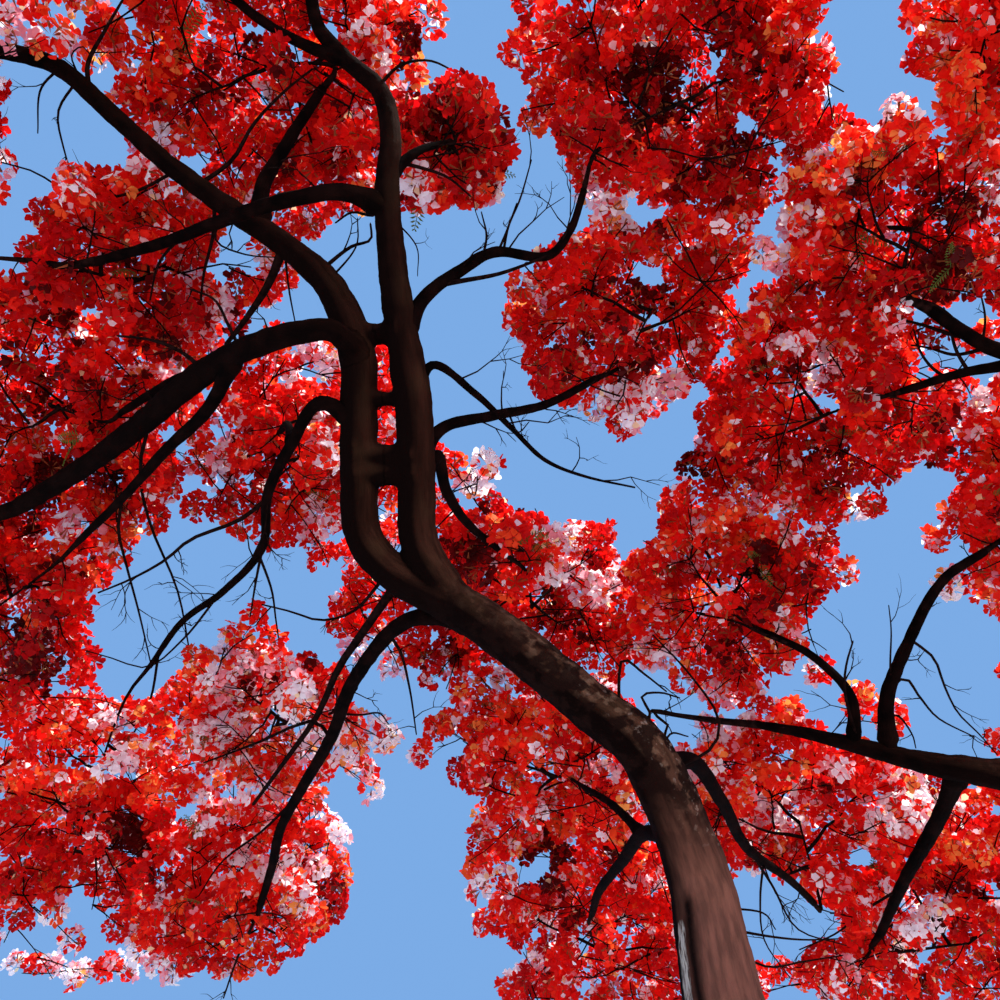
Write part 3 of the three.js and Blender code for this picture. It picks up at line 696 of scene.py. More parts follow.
# The stem that feeds each mass, from inside its bough's tip to under the mass's middle.
stemValues = {
    "sunk": 0.025,
    "lead": 0.3,
    "sag": 0.3,
    "girthShare": 0.86,
    "sampleSpacing": 0.03,
    "shieldStep": 0.2,
}
limbField = limbSamples(list(limbTable), stemValues["sampleSpacing"])
for limb in limbTable.values():
    steps = max(3, round(limb["curve"]["length"] / stemValues["shieldStep"]))
    radii = limbRadii(limb, np.linspace(0, 1, steps + 1)) + growthValues["clearance"]
    limb["shield"] = tubeTree(limb["curve"], radii, 8)
for mass in massTable.values():
    limb = limbTable[mass["limb"]]
    tip = pointsAt(limb["curve"], 1.0)
    heading = headingsAt(limb["curve"], [1.0])[0]
    heart = np.array(mass["centre"]) - (0, 0, stemValues["sag"] * mass["depth"])
    lead = tip + heading * stemValues["lead"] * np.linalg.norm(heart - tip)
    mass["stem"] = curveThrough([tip - heading * stemValues["sunk"], lead, heart])
    mass["stemRadii"] = (limb["girth"][-1][1] / 2 * stemValues["girthShare"], growthValues["stemEnd"])
    stemRadii = np.linspace(*mass["stemRadii"], 5)
    mass["stemTree"] = tubeTree(mass["stem"], stemRadii, 4)
    mass["shield"] = tubeTree(mass["stem"], stemRadii + growthValues["clearance"], 6)
    mass["walls"] = wallsOf(mass)

sprigFaces = (
    [(0, 1 + (c + 1) % 4, 1 + c) for c in range(4)]
    + [(1 + c, 1 + (c + 1) % 4, 5 + (c + 1) % 4, 5 + c) for c in range(4)]
    + [(5 + c, 5 + (c + 1) % 4, 9 + (c + 1) % 4, 9 + c) for c in range(4)]
)


# The corners of one sprig: the dome's crown, its rim, the neck under it and the twig's root.
def sprigCorners(fork, target, axis, reaches, turn, twigRadius):
    up = Vector((0, 1, 0))
    facing = up.rotation_difference(axis)
    neck = target - axis * growthValues["drop"]
    bend = axis.rotation_difference((neck - fork).normalized())
    bearings = [c * math.pi / 2 + turn for c in range(4)]
    rim = [Vector((math.cos(b) * r, 0, math.sin(b) * r)) for b, r in zip(bearings, reaches)]
    ring = [Vector((math.cos(b) * twigRadius, 0, math.sin(b) * twigRadius)) for b in bearings]
    corners = [target + facing @ Vector((0, growthValues["rise"], 0))]
    corners += [target + facing @ p for p in rim]
    corners += [end + bend @ (facing @ p) for end in (neck, fork) for p in ring]
    return corners, neck


# The way a sprig faces, turned toward its twig until the two agree well enough.
def leanOver(lean, heading, least):
    axis = lean.normalized()
    while axis.dot(heading) < least:
        axis = (axis + heading * growthValues["leanStep"]).normalized()
    return axis


# Where a twig's end is cheapest to reach from: near, and not far above it.
def nearestFork(forks, target, placeOf=lambda fork: fork):
    def cost(fork):
        place = placeOf(fork)
        return (place - target).length + growthValues["uphill"] * max(0, place.z - target.z)

    return min(forks, key=cost)


# Grows one mass as the source does: each sprig reaches for its place on the shell of the mass and
# leaves the nearest free fork of the stem or of an earlier sprig.
def growSprigs(mass, seed):
    values = growthValues
    draw = seeded(seed)
    centre = Vector(mass["centre"])
    firstBearing = draw() * math.pi * 2
    forks = [
        {"at": Vector(pointsAt(mass["stem"], share)), "of": None, "order": 0}
        for share in values["stemForks"]
    ]
    radius = min(values["radius"], mass["spread"] * values["radiusShare"])
    count = values["sprigsSmall"] if mass["spread"] < values["smallSpread"] else values["sprigs"]
    near = [limb["shield"] for limb in limbTable.values()]
    near += [other["shield"] for other in massTable.values() if other is not mass]
    sprigs = []
    for k in range(count):
        i = (k * values["stride"]) % count
        for pull, swing in values["tries"]:
            height = values["heights"][0] - values["heights"][1] * (i + 0.5) / count
            ring = math.sqrt(1 - height * height)
            bearing = firstBearing + i * goldenTurn + swing
            side = (mass["spread"] - radius * values["shellShare"]) * ring * pull
            sunk = values["pullShares"][0] + values["pullShares"][1] * pull
            rise = (mass["depth"] - values["rise"]) * height * sunk
            target = centre + Vector(turned(bearing, side, rise))
            fork = nearestFork(forks, target, lambda fork: fork["at"])
            heading = (target - fork["at"]).normalized()
            upward = values["stand"][0] + values["stand"][1] * height
            lean = Vector([part * ring * values["lean"] for part in turned(bearing)[:2]] + [upward])
            axis = leanOver(lean, heading, values["agree"])
            reaches = [radius * (values["reaches"][0] + values["reaches"][1] * draw()) for _ in range(4)]
            turn = draw() * math.pi
            if not inWalls(mass, target, axis, max(reaches), values["rise"]):
                continue
            twigRadius = values["twigRadii"][fork["order"]]
            corners, neck = sprigCorners(fork["at"], target, axis, reaches, turn, twigRadius)
            tree = BVHTree.FromPolygons(corners, sprigFaces)
            dome = BVHTree.FromPolygons(corners, sprigFaces[:8])
            parent = fork["of"]
            if any(tree.overlap(shield) for shield in near):
                continue
            if any(tree.overlap(other["tree"]) for other in sprigs if other is not parent):
                continue
            if parent and (tree.overlap(mass["stemTree"]) or dome.overlap(parent["dome"])):
                continue
            sprig = {
                "fork": fork["at"], "neck": neck, "target": target, "axis": axis,
                "tree": tree, "dome": dome,
                "radius": sum(reaches) / 4, "turn": turn, "order": fork["order"],
            }
            sprigs.append(sprig)
            forks.remove(fork)
            if fork["order"] < 2 and (fork["at"] - neck).length > values["longEnough"]:
                for share in values["sprigForks"]:
                    at = fork["at"].lerp(neck, share)
                    forks.append({"at": at, "of": sprig, "order": fork["order"] + 1})
            break
    return sprigs


# Carries the rule on: smaller and smaller sprigs fill the room that is left inside the mass's own
# reach, each from the nearest twig, and later ones may fork from those.
fineValues = {
    "places": 230,
    "radii": (0.26, 0.15),
    "apart": 0.64,
    "twigRadius": 0.007,
    "pull": (0.42, 1.03),
    "shellShare": 0.55,
    "under": 0.05,
    "heights": (-0.8, 0.97),
    "girthSpan": (0.85, 1.15),
    "twigForks": (0.35, 0.55, 0.75, 0.92),
    "stemForks": (0.55, 0.7, 0.85, 0.96),
    "outward": 0.7,
    "upward": 0.8,
    "agree": 0.25,
    "neck": 0.04,
    "wallShare": 0.4,
    "limbShare": 0.5,
    "nextFork": 0.6,
    "outRise": 0.6,
}


def growFiner(mass, draws):
    values = fineValues
    centre = Vector(mass["centre"])
    mass["forks"] = [
        sprig["fork"].lerp(sprig["neck"], share)
        for sprig in mass["sprigs"]
        for share in values["twigForks"]
    ]
    mass["forks"] += [Vector(pointsAt(mass["stem"], share)) for share in values["stemForks"]]
    for k in range(values["places"]):
        share = k / values["places"]
        height = draws.uniform(*values["heights"])
        ring = math.sqrt(max(0, 1 - height * height))
        bearing = draws.uniform(0, 2 * math.pi)
        radius = values["radii"][0] * (1 - share) + values["radii"][1] * share
        radius = radius * draws.uniform(*values["girthSpan"])
        pull = draws.uniform(values["pull"][0] ** 2, values["pull"][1] ** 2) ** 0.5
        side = (mass["spread"] - radius * values["shellShare"]) * ring * pull
        rise = (mass["depth"] - values["under"]) * height * pull
        out = Vector(turned(bearing, ring, values["outRise"] * height))
        target = centre + Vector(turned(bearing, side, rise))
        seatSprig(mass, target, radius, out, draws)


# A few sprigs round the tip of each limb, which hide where its wood ends.
tipValues = {
    "places": 14,
    "keep": 5,
    "reach": (0.2, 0.34),
    "radius": 0.17,
    "drop": (-0.14, 0.16),
    "apart": 0.5,
    "tipShare": 0.08,
    "forks": (0.14, 0.24, 0.36),
    "swing": 0.5,
}


def growTips(mass, draws):
    values = tipValues
    tip = pointsAt(mass["stem"], values["tipShare"])
    mass["forks"] += [Vector(pointsAt(mass["stem"], share)) for share in values["forks"]]
    before = len(mass["sprigs"])
    for k in range(values["places"]):
        if len(mass["sprigs"]) - before == values["keep"]:
            return
        bearing = k * goldenTurn + draws.uniform(0, values["swing"])
        out = np.array(turned(bearing))
        target = tip + out * draws.uniform(*values["reach"]) + (0, 0, draws.uniform(*values["drop"]))
        seatSprig(mass, Vector(target), values["radius"], out, draws, values["apart"])


# Masses that the photo shows grown together: sprigs from both also fill the room between them.
joinValues = {
    "places": 60,
    "radii": (0.17, 0.24),
    "across": 0.95,
    "deep": 0.5,
    "offset": (0.02, 0.42),
    "sameWay": 0.9999,
}
joinedMasses = [
    ("front_right", "mid_right"), ("front_right", "upper_right"), ("mid_right", "upper_right"),
    ("mid_right", "right_mid"), ("upper_right", "right_mid"), ("upper_right", "top_right"),
    ("right_mid", "right_in"), ("right_mid", "right_out"), ("mid", "right_in"), ("mid", "far_mid"),
    ("far_mid", "far"), ("right_in", "far_right_low"), ("far_right_low", "far_right"),
    ("left_high", "left_low"), ("left_low", "left_mid"), ("left_low", "left_out"),
    ("left_out", "far_left"), ("far_left", "far_left_low"), ("far_left", "pale"),
    ("far_left_low", "pale"), ("left_low", "left_tip"), ("left_out", "left_tip"),
    ("left_high", "left_front"), ("front_left", "left_front"), ("front_left", "front"),
    ("front", "front_mid"), ("front_mid", "right"), ("right", "right_out"), ("right_out", "right_far"),
    ("top_left", "front_left"), ("front_right", "front_mid"), ("top_right", "right"),
    ("far_right", "right_far"),
]


def growJoins(values):
    draws = drawsFor("joins")
    for pair in joinedMasses:
        for mass, other in (pair, pair[::-1]):
            mass, other = massTable[mass], massTable[other]
            start = np.array(mass["centre"])
            way = unit(np.array(other["centre"]) - start)
            flat = unit(np.array((-way[1], way[0], 0)))
            wall = min(
                limit for direction, limit in zip(*mass["walls"])
                if abs(direction @ way) > values["sameWay"]
            )
            width = min(mass["spread"], other["spread"]) * values["across"]
            for k in range(values["places"]):
                back = draws.uniform(*values["offset"])
                across = draws.uniform(-width, width)
                rise = draws.uniform(-1, 1) * mass["depth"] * values["deep"]
                target = Vector(start + way * (wall - back) + flat * across + (0, 0, rise))
                seatSprig(mass, target, draws.uniform(*values["radii"]), way, draws)


# Open gaps in the crown: round cones of sight, each by the middle and half width of its circle in
# the view, in thousandths of the view's width. No blossom of the finer kind fills them.
gapTable = [
    (543, 165, 32), (556, 205, 26), (532, 228, 28), (518, 138, 18), (510, 30, 16), (500, 94, 12),
    (524, 490, 27), (562, 498, 32), (602, 492, 32), (636, 470, 34), (666, 442, 26), (642, 520, 14),
    (605, 446, 20), (584, 455, 20), (20, 82, 26), (26, 122, 34), (68, 142, 30), (40, 165, 24),
    (20, 202, 24), (30, 236, 14), (106, 86, 16), (98, 152, 18), (207, 160, 14), (830, 18, 17),
    (858, 45, 20), (870, 82, 24), (900, 82, 24), (926, 100, 16), (905, 40, 20), (858, 540, 28),
    (880, 560, 26), (906, 556, 24), (835, 610, 24), (850, 642, 20), (900, 612, 22), (775, 682, 15),
    (814, 708, 19), (842, 726, 20), (798, 662, 14), (900, 742, 14), (936, 747, 14), (976, 738, 16),
    (930, 482, 13), (926, 520, 14), (982, 312, 16), (940, 366, 14), (755, 882, 18), (786, 902, 20),
    (802, 930, 18), (832, 932, 16), (345, 800, 14), (350, 850, 12), (336, 942, 20), (310, 970, 18),
    (352, 902, 12), (452, 750, 13), (462, 802, 8), (450, 870, 10), (432, 702, 12), (490, 955, 16),
    (85, 912, 26), (100, 600, 20), (122, 580, 16), (96, 640, 18), (122, 670, 18), (300, 642, 20),
    (330, 656, 18), (356, 690, 14), (436, 45, 16), (432, 80, 18), (222, 250, 14), (216, 272, 14),
    (460, 214, 14), (490, 208, 12), (430, 214, 12), (325, 214, 12), (784, 210, 8), (768, 240, 7),
    (437, 786, 14), (930, 945, 16), (662, 682, 16), (690, 702, 12), (600, 756, 10), (284, 610, 15),
    (352, 823, 12), (372, 712, 12), (850, 112, 10), (872, 114, 8), (925, 466, 12), (28, 936, 12),
    (448, 440, 9), (508, 966, 8),
]
gapTable = np.array(gapTable, float)
gapMargin = 4


# Where points fall in the view, in thousandths of its width.
def viewOf(points):
    values = cameraValues
    pitch = math.radians(values["pitch"])
    ahead = np.array((0, math.cos(pitch), math.sin(pitch)))
    up = np.array((0, -math.sin(pitch), math.cos(pitch)))
    offsets = np.atleast_2d(points) - values["eye"]
    scale = 500 / math.tan(math.radians(values["viewAngle"] / 2)) / (offsets @ ahead)
    return np.stack([500 + offsets[:, 0] * scale, 500 - offsets @ up * scale], axis=1)


def inCircles(circles, point, margin=0):
    apart = np.linalg.norm(circles[:, :2] - viewOf(point), axis=1)
    return bool((apart < circles[:, 2] + margin).any())


# Seats one finer sprig at a place, if there is room, on the nearest twig of its mass. A free one
# may cross a wall.
def seatSprig(mass, target, radius, out, draws, apart=None, free=False):
    values = fineValues
    apart = apart or values["apart"]
    if any((other["target"] - target).length < apart * (other["radius"] + radius)
           for other in mass["sprigs"]):
        return
    fork = nearestFork(mass["forks"], target)
    lean = Vector(out) * values["outward"] + Vector((0, 0, values["upward"]))
    axis = leanOver(lean, (target - fork).normalized(), values["agree"])
    if not free and not inWalls(mass, target, axis, radius * values["wallShare"], 0.0):
        return
    if inCircles(gapTable, target, gapMargin) or not clearOfLimbs(target, radius * values["limbShare"]):
        return
    neck = target - axis * values["neck"]
    mass["sprigs"].append({
        "fork": fork, "neck": neck, "target": target, "axis": axis, "radius": radius,
        "turn": draws.uniform(0, math.pi), "order": 3, "free": free,
    })
    mass["forks"].append(fork.lerp(neck, values["nextFork"]))


# Sprigs at chosen places, where the photo shows blossom between or beyond the masses: the height
# of those in each mass, and where each stands.
fillValues = {"liftSpan": (-0.08, 0.08), "radii": (0.14, 0.2), "apart": 0.35}
fillTable = {
    "left_mid": (7.76, [
        (-2.46, 0.45), (-2.54, 0.25), (-2.59, -1.4), (-2.37, -1.34), (-2.21, -1.24), (-1.93, -0.07),
        (-1.91, -0.35), (-1.9, -0.82), (-1.9, -0.99), (-1.85, -1.28), (-3.42, -0.62), (-1.95, -0.72),
    ]),
    "mid": (7.41, [
        (-2.19, 0.46), (-2.34, 0.74), (-2.11, 0.74), (-1.98, 1.04), (-2.27, 1.04), (-1.87, 1.31),
        (-1.82, 0.0), (-1.38, -0.68), (-1.17, -0.61), (-1.46, -0.39), (-0.02, 0.39), (-1.09, 1.54),
        (-1.75, 1.04), (-1.54, 1.39), (0.03, 1.04), (-1.88, 0.69), (-2.09, 0.41),
    ]),
    "pale": (6.78, [
        (-3.37, 0.8), (-3.11, 0.6), (-2.85, 0.42), (-2.62, 0.25), (-2.05, 1.51), (-1.94, 1.36),
        (-2.17, 2.03), (-2.84, 2.15), (-2.34, 2.28), (-3.01, 2.13),
    ]),
    "far_left": (6.61, [
        (-5.63, 3.92), (-5.5, 4.19), (-5.29, 4.44), (-5.02, 4.61), (-4.68, 4.48), (-5.69, 4.56),
        (-3.63, 2.09),
    ]),
    "far_left_low": (6.4, [(-4.24, 3.79), (-4.03, 3.64), (-3.98, 4.1)]),
    "right_mid": (7.71, [
        (0.61, -0.37), (0.84, -0.28), (1.1, -0.19), (2.43, -1.42), (2.56, -1.12), (2.52, -0.76),
        (1.01, -1.7),
    ]),
    "far_right": (5.99, [
        (1.51, 3.67), (1.69, 3.49), (1.33, 3.78), (1.5, 3.15), (1.85, 3.82), (2.9, 2.91), (2.75, 3.31),
        (1.56, 2.84),
    ]),
    "upper_right": (7.71, [
        (1.63, -2.53), (1.52, -2.56), (1.09, -1.89), (1.57, -1.72), (2.05, -2.9), (2.2, -2.85),
    ]),
    "front_right": (8.2, [
        (1.37, -3.15), (1.3, -2.97), (1.2, -2.79), (0.08, -3.11), (0.58, -2.37), (0.39, -2.44),
        (0.97, -2.6), (0.95, -2.34), (0.0, -3.24), (-0.05, -3.09), (0.14, -2.97),
    ]),
    "mid_right": (7.82, [(-0.05, -1.86)]),
    "left_low": (7.23, [(-4.09, -2.06), (-4.04, -0.26)]),
    "front_left": (7.7, [(-3.83, -3.6)]),
    "left_front": (7.31, [(-3.76, -3.46)]),
    "top_left": (8.31, [(-1.55, -3.63), (-2.64, -3.06), (-2.48, -3.09)]),
    "far": (6.39, [(-1.04, 2.84)]),
    "right_in": (7.23, [
        (1.06, 1.43), (0.86, 1.55), (0.09, 0.88), (1.2, -0.29), (0.11, 0.23), (0.67, 0.2), (0.08, -0.1),
    ]),
    "far_mid": (6.81, [(-0.75, 1.83)]),
    "left_high": (7.45, [(-2.63, -2.17), (-2.58, -2.05)]),
    "far_right_low": (6.33, [(1.06, 1.23), (1.61, 3.06)]),
}


def growFills(values):
    draws = drawsFor("fills")
    for name, (height, places) in fillTable.items():
        for place in places:
            target = Vector((*place, height)) + Vector((0, 0, draws.uniform(*values["liftSpan"])))
            radius = draws.uniform(*values["radii"])
            seatSprig(massTable[name], target, radius, (0, 0, 1), draws, values["apart"], True)


# Whether a point keeps further from every limb's skin than a distance.
def clearOfLimbs(point, distance):
    apart = np.linalg.norm(limbField["at"] - np.asarray(point), axis=1) - limbField["radius"]
    return bool(apart.min() > distance)


# Twigs as joined tubes: all paths of one call have the same number of points.
def twigMesh(paths, radii, sides):
    paths = np.asarray(paths, float)
    radii = np.asarray(radii, float)
    count, rows = radii.shape
    headings = unit(np.gradient(paths, axis=1))
    normals, binormals = acrossEach(headings, leastAxis(headings.mean(axis=1))[:, None])
    rings = ringsRound(paths, normals, binormals, radii, sides)
    tips = paths[:, -1] + headings[:, -1] * radii[:, -1, None] * 2
    points = np.concatenate([rings.reshape(count, rows * sides, 3), tips[:, None]], axis=1)
    faces = []
    last = (rows - 1) * sides
    for low in range(0, last, sides):
        for side in range(sides):
            a = low + side
            b = low + (side + 1) % sides
            faces += [(a, b, b + sides), (a, b + sides, a + sides)]
    faces += [(last + side, last + (side + 1) % sides, rows * sides) for side in range(sides)]
    faces += [(0, side + 1, side) for side in range(1, sides - 1)]
    return repeated(points, faces)


# The faces of one small shape, repeated for every copy of its points.
def repeated(points, faces):
    count, size = points.shape[:2]
    steps = np.arange(count)[:, None, None] * size
    return points.reshape(-1, 3), (np.array(faces)[None] + steps).reshape(-1, 3)


# One piece from many joined small parts, which stands for the masses of blossom.
def meshPiece(name, parts, smooth=False):
    starts = np.cumsum([0] + [len(points) for points, faces in parts])
    points = np.concatenate([points for points, faces in parts])
    faces = np.concatenate([faces + start for (points, faces), start in zip(parts, starts)])
    mesh = bpy.data.meshes.new(name)
    mesh.vertices.add(len(points))
    mesh.vertices.foreach_set("co", points.ravel())
    mesh.loops.add(faces.size)
    mesh.loops.foreach_set("vertex_index", faces.ravel())
    mesh.polygons.add(len(faces))
    mesh.polygons.foreach_set("loop_start", np.arange(len(faces)) * 3)
    mesh.polygons.foreach_set("use_smooth", np.full(len(faces), smooth))
    mesh.update(calc_edges=True)
    mesh.validate()
    made = bpy.data.objects.new(name, mesh)
    scene.collection.objects.link(made)
    return asPiece(made, ["blossom_" + mass for mass in massTable])


# Colours of the petals: of the face, and of the light that comes through. Each spray is of one
# kind, a mixture of a few of them: darker in the heart of a mass, a painted shade, and brighter toward
# its edge and top, a painted light.
tintValues = {
    # A near-black red: painted shade for the darkest hearts of the masses.
    "maroon": ((0.075, 0.001, 0.002), (0.15, 0.001, 0.002)),
    "crimson": ((0.36, 0.002, 0.004), (0.70, 0.005, 0.008)),
    "cardinal": ((0.52, 0.003, 0.004), (0.88, 0.008, 0.007)),
    "scarlet": ((0.68, 0.004, 0.003), (1.0, 0.010, 0.006)),
    "flame": ((0.84, 0.014, 0.006), (1.0, 0.032, 0.012)),
    "orange_red": ((0.86, 0.060, 0.014), (1.0, 0.12, 0.025)),
    "orange": ((0.90, 0.26, 0.06), (1.0, 0.42, 0.10)),
    "rose": ((0.84, 0.28, 0.34), (1.0, 0.46, 0.54)),
    # A lavender white: partly pale petals, partly a painted highlight of the bluish light from all round.
    "blush": ((0.88, 0.84, 0.96), (1.0, 0.98, 1.0)),
}
kindValues = {
    # Dark tints for sprays in the heart of a mass: painted shade.
    "heart": {"maroon": 20, "crimson": 44, "cardinal": 26, "scarlet": 10},
    "body": {"crimson": 13, "cardinal": 31, "scarlet": 33, "flame": 18, "orange_red": 3, "blush": 2},
    # Bright tints for sprays at the edge and top of a mass: painted light.
    "bright": {
        "cardinal": 10, "scarlet": 29, "flame": 38, "orange_red": 11, "orange": 1, "rose": 5, "blush": 7,
    },
    "warm": {"scarlet": 16, "flame": 33, "orange_red": 32, "orange": 13, "rose": 3, "blush": 3},
    # Pale sprays: partly pale flowers, partly painted highlight.
    "pale": {"scarlet": 10, "flame": 13, "orange_red": 4, "orange": 3, "rose": 20, "blush": 50},
    # Sprays in the darkest hollows: painted shade.
    "dusk": {"maroon": 80, "crimson": 20},
}
kindNames = list(kindValues)
# Shares of the kinds by how far out a spray grows: more painted shade inside, more painted light outside.
kindShares = {
    "inner": (0.42, 0.43, 0.12, 0.02, 0.01, 0),
    "middle": (0.13, 0.49, 0.27, 0.06, 0.05, 0),
    "outer": (0.04, 0.27, 0.37, 0.16, 0.16, 0),
}
# How far out in its mass each of the first two of these ends, and how much height adds to that.
kindEdges = {"inner": 0.42, "middle": 0.78}
kindHeight = 0.25
bloomValues = {
    "scarlet": (1, 1, 1, 1, 1, 1),
    "warm": (0.6, 0.8, 1.2, 2.2, 1.0, 1),
    "pale": (0.5, 0.8, 1.0, 1.4, 2.6, 1),
    "deep": (1.9, 1.2, 0.8, 0.5, 0.8, 1),
}
massBloom = {
    "warm": ["top_left", "mid_right", "right_in", "top_right", "right_out", "far_mid"],
    "pale": ["far_left_low", "pale", "far_right_low"],
    "deep": ["top_mid", "front_right", "left_mid", "left_out", "mid"],
}
outerMasses = ["left_tip", "left_front", "front_left", "front", "front_mid", "right", "right_far"]
bloomOf = {name: bloom for bloom, names in massBloom.items() for name in names}


# Places where the photo's blossom is palest, darkest, most orange or leafy: cones of sight, like
# the gaps. The darkest are given painted shade; the palest are partly pale flowers and partly painted
# highlight.
zoneTable = {
    "pale": [
        (618, 195, 36), (780, 235, 30), (620, 398, 36), (680, 398, 28), (562, 560, 30), (592, 588, 24),
        (716, 700, 32), (650, 650, 22), (822, 368, 26), (250, 682, 42), (300, 722, 38), (216, 740, 32),
        (355, 758, 34), (300, 880, 32), (335, 830, 20), (922, 930, 32), (900, 904, 22), (150, 150, 30),
        (226, 440, 32), (210, 482, 24), (150, 402, 28), (330, 530, 24), (378, 650, 24), (600, 770, 22),
        (486, 482, 20), (950, 20, 24), (982, 180, 18), (25, 25, 24), (60, 975, 48), (130, 965, 28),
        (320, 355, 22), (290, 366, 18), (790, 800, 22), (880, 820, 24),
    ],
    "dusk": [
        (650, 93, 44), (738, 142, 26), (655, 290, 22), (955, 208, 18), (760, 560, 22), (540, 870, 28),
        (110, 480, 26), (40, 480, 28), (30, 650, 22), (690, 450, 18), (935, 270, 22), (130, 830, 22),
        (400, 40, 18), (470, 560, 22), (860, 180, 20),
    ],
    "warm": [
        (545, 740, 32), (500, 692, 28), (520, 800, 28), (560, 832, 24), (745, 490, 22), (720, 540, 28),
        (540, 300, 20), (590, 242, 22), (45, 790, 28), (170, 770, 24), (960, 70, 24), (980, 120, 22),
        (150, 60, 24), (190, 40, 20), (980, 460, 22), (700, 600, 24), (250, 960, 22), (60, 300, 22),
    ],
    "leafy": [(440, 168, 36), (156, 274, 26), (196, 26, 20)],
}
zoneTable = {name: np.array(circles, float) for name, circles in zoneTable.items()}


def zonesAt(place):
    return [name for name, circles in zoneTable.items() if inCircles(circles, place)]


# The kind of a spray, drawn by how far out in its mass it grows, so that its painted shade or light falls
# by place.
def drawKind(mass, bloom, place, draws):
    offset = np.asarray(place) - mass["centre"]
    out = math.hypot(offset[0], offset[1]) / mass["spread"] + kindHeight * offset[2] / mass["depth"]
    zone = next((name for name, edge in kindEdges.items() if out < edge), "outer")
    shares = np.array(kindShares[zone]) * bloomValues[bloom]
    return draws.choice(kindNames, p=shares / shares.sum())


# Each sprig fans out into clusters of flowers, each on a finer twig of its own.
clusterValues = {
    "perSprig": 7,
    "perFineMetre": 11,
    "reach": 0.9,
    "radius": 0.089,
    "flowers": 13,
    "flowersOut": 8,
    "flowerSpan": (0.74, 1.02),
    "faceUp": 0.3,
    "sharedKind": 0.7,
    "zoneShares": {"pale": 0.82, "dusk": 0.96, "warm": 0.7},
    "leafShare": 0.02,
    "leafyShare": 0.4,
    "leafSizes": (0.55, 0.85),
    "twigBend": 0.05,
    "twigEnd": 0.0045,
    "kink": 0.25,
    "stemShares": (0, 0.25, 0.6, 1),
    "stemTaper": (1, 0.66, 0.4),
    "stemEnd": 0.009,
    "stemPoints": 12,
    "sunk": 0.03,
    "liftSpan": (-0.04, 0.03),
    "wallRoom": (0.04, 0.02),
    "limbShare": 0.8,
    "outward": 0.9,
    "tumble": 0.15,
    "fingerFoot": 0.05,
    "fingerBend": 0.09,
    "fingerGirths": (0.0042, 0.0036, 0.003, 0.0024),
    "domeSpan": 1.3,
    "flowerScatter": 0.16,
    "flowerReach": (0.72, 1.18),
    "flowerTumble": 0.22,
    "stalkFoot": 0.12,
    "limbRoom": 0.035,
}
twigKinds = ("main", "fine", "finger", "stem", "bare", "named")
twigPaths = {kind: [] for kind in twigKinds}
twigGirths = {kind: [] for kind in twigKinds}
clusters = []
leafSeats = []


def sideways(axis, draws):
    across = np.cross(axis, draws.normal(size=3))
    return across / np.linalg.norm(across)


# A twig's path from a fork to its end, a little bent.
def bentPath(start, end, rows, bend, draws):
    start = np.array(start)
    end = np.array(end)
    length = np.linalg.norm(end - start)
    across = sideways(end - start, draws)
    shares = np.linspace(0, 1, rows)[:, None]
    bow = np.sin(shares * math.pi)
    kinks = draws.normal(size=(rows, 3)) * length * bend * clusterValues["kink"] * bow
    return start + (end - start) * shares + across * bow * length * bend + kinks


def carryOn(mass, sprig, bloom, flowers, draws):
    values = clusterValues
    coarse = sprig["order"] < 3
    path = bentPath(sprig["fork"], sprig["neck"], 7 if coarse else 5, values["twigBend"], draws)
    root = growthValues["twigRadii"][sprig["order"]] if coarse else fineValues["twigRadius"]
    kind = "main" if coarse else "fine"
    twigPaths[kind].append(path)
    twigGirths[kind].append(np.linspace(root, values["twigEnd"], len(path)))
    axis = np.array(sprig["axis"])
    sideA = sideways(axis, draws)
    sideB = np.cross(axis, sideA)
    count = values["perSprig"] if coarse else round(sprig["radius"] * values["perFineMetre"])
    sprayKind = drawKind(mass, bloom, sprig["target"], draws)
    for j in range(count):
        share = math.sqrt((j + 0.4) / count) * values["reach"]
        turn = sprig["turn"] + j * goldenTurn
        out = sideA * math.cos(turn) + sideB * math.sin(turn)
        lift = growthValues["rise"] * (1 - share * share) - values["sunk"]
        lift += draws.uniform(*values["liftSpan"])
        centre = np.array(sprig["target"]) + out * sprig["radius"] * share + axis * lift
        if not sprig.get("free") and not inWalls(mass, centre, axis, *values["wallRoom"]):
            continue
        if inCircles(gapTable, centre, gapMargin):
            continue
        if not clearOfLimbs(centre, values["radius"] * values["limbShare"]):
            continue
        normal = unit(axis + out * share * values["outward"] + draws.normal(size=3) * values["tumble"])
        leave = path[-1 - min(2, int(share * 3))]
        foot = centre - normal * values["fingerFoot"]
        girths = values["fingerGirths"]
        twigPaths["finger"].append(bentPath(leave, foot, len(girths), values["fingerBend"], draws))
        twigGirths["finger"].append(girths)
        shared = draws.random() < values["sharedKind"]
        kind = sprayKind if shared else drawKind(mass, bloom, centre, draws)
        zones = zonesAt(centre)
        for zone in zones:
            if draws.random() < values["zoneShares"].get(zone, 0):
                kind = zone
        clusters.append((centre, normal, kind, flowers))
        if draws.random() < values["leafyShare" if "leafy" in zones else "leafShare"]:
            leafSeats.append((foot, normal, draws.uniform(*values["leafSizes"])))


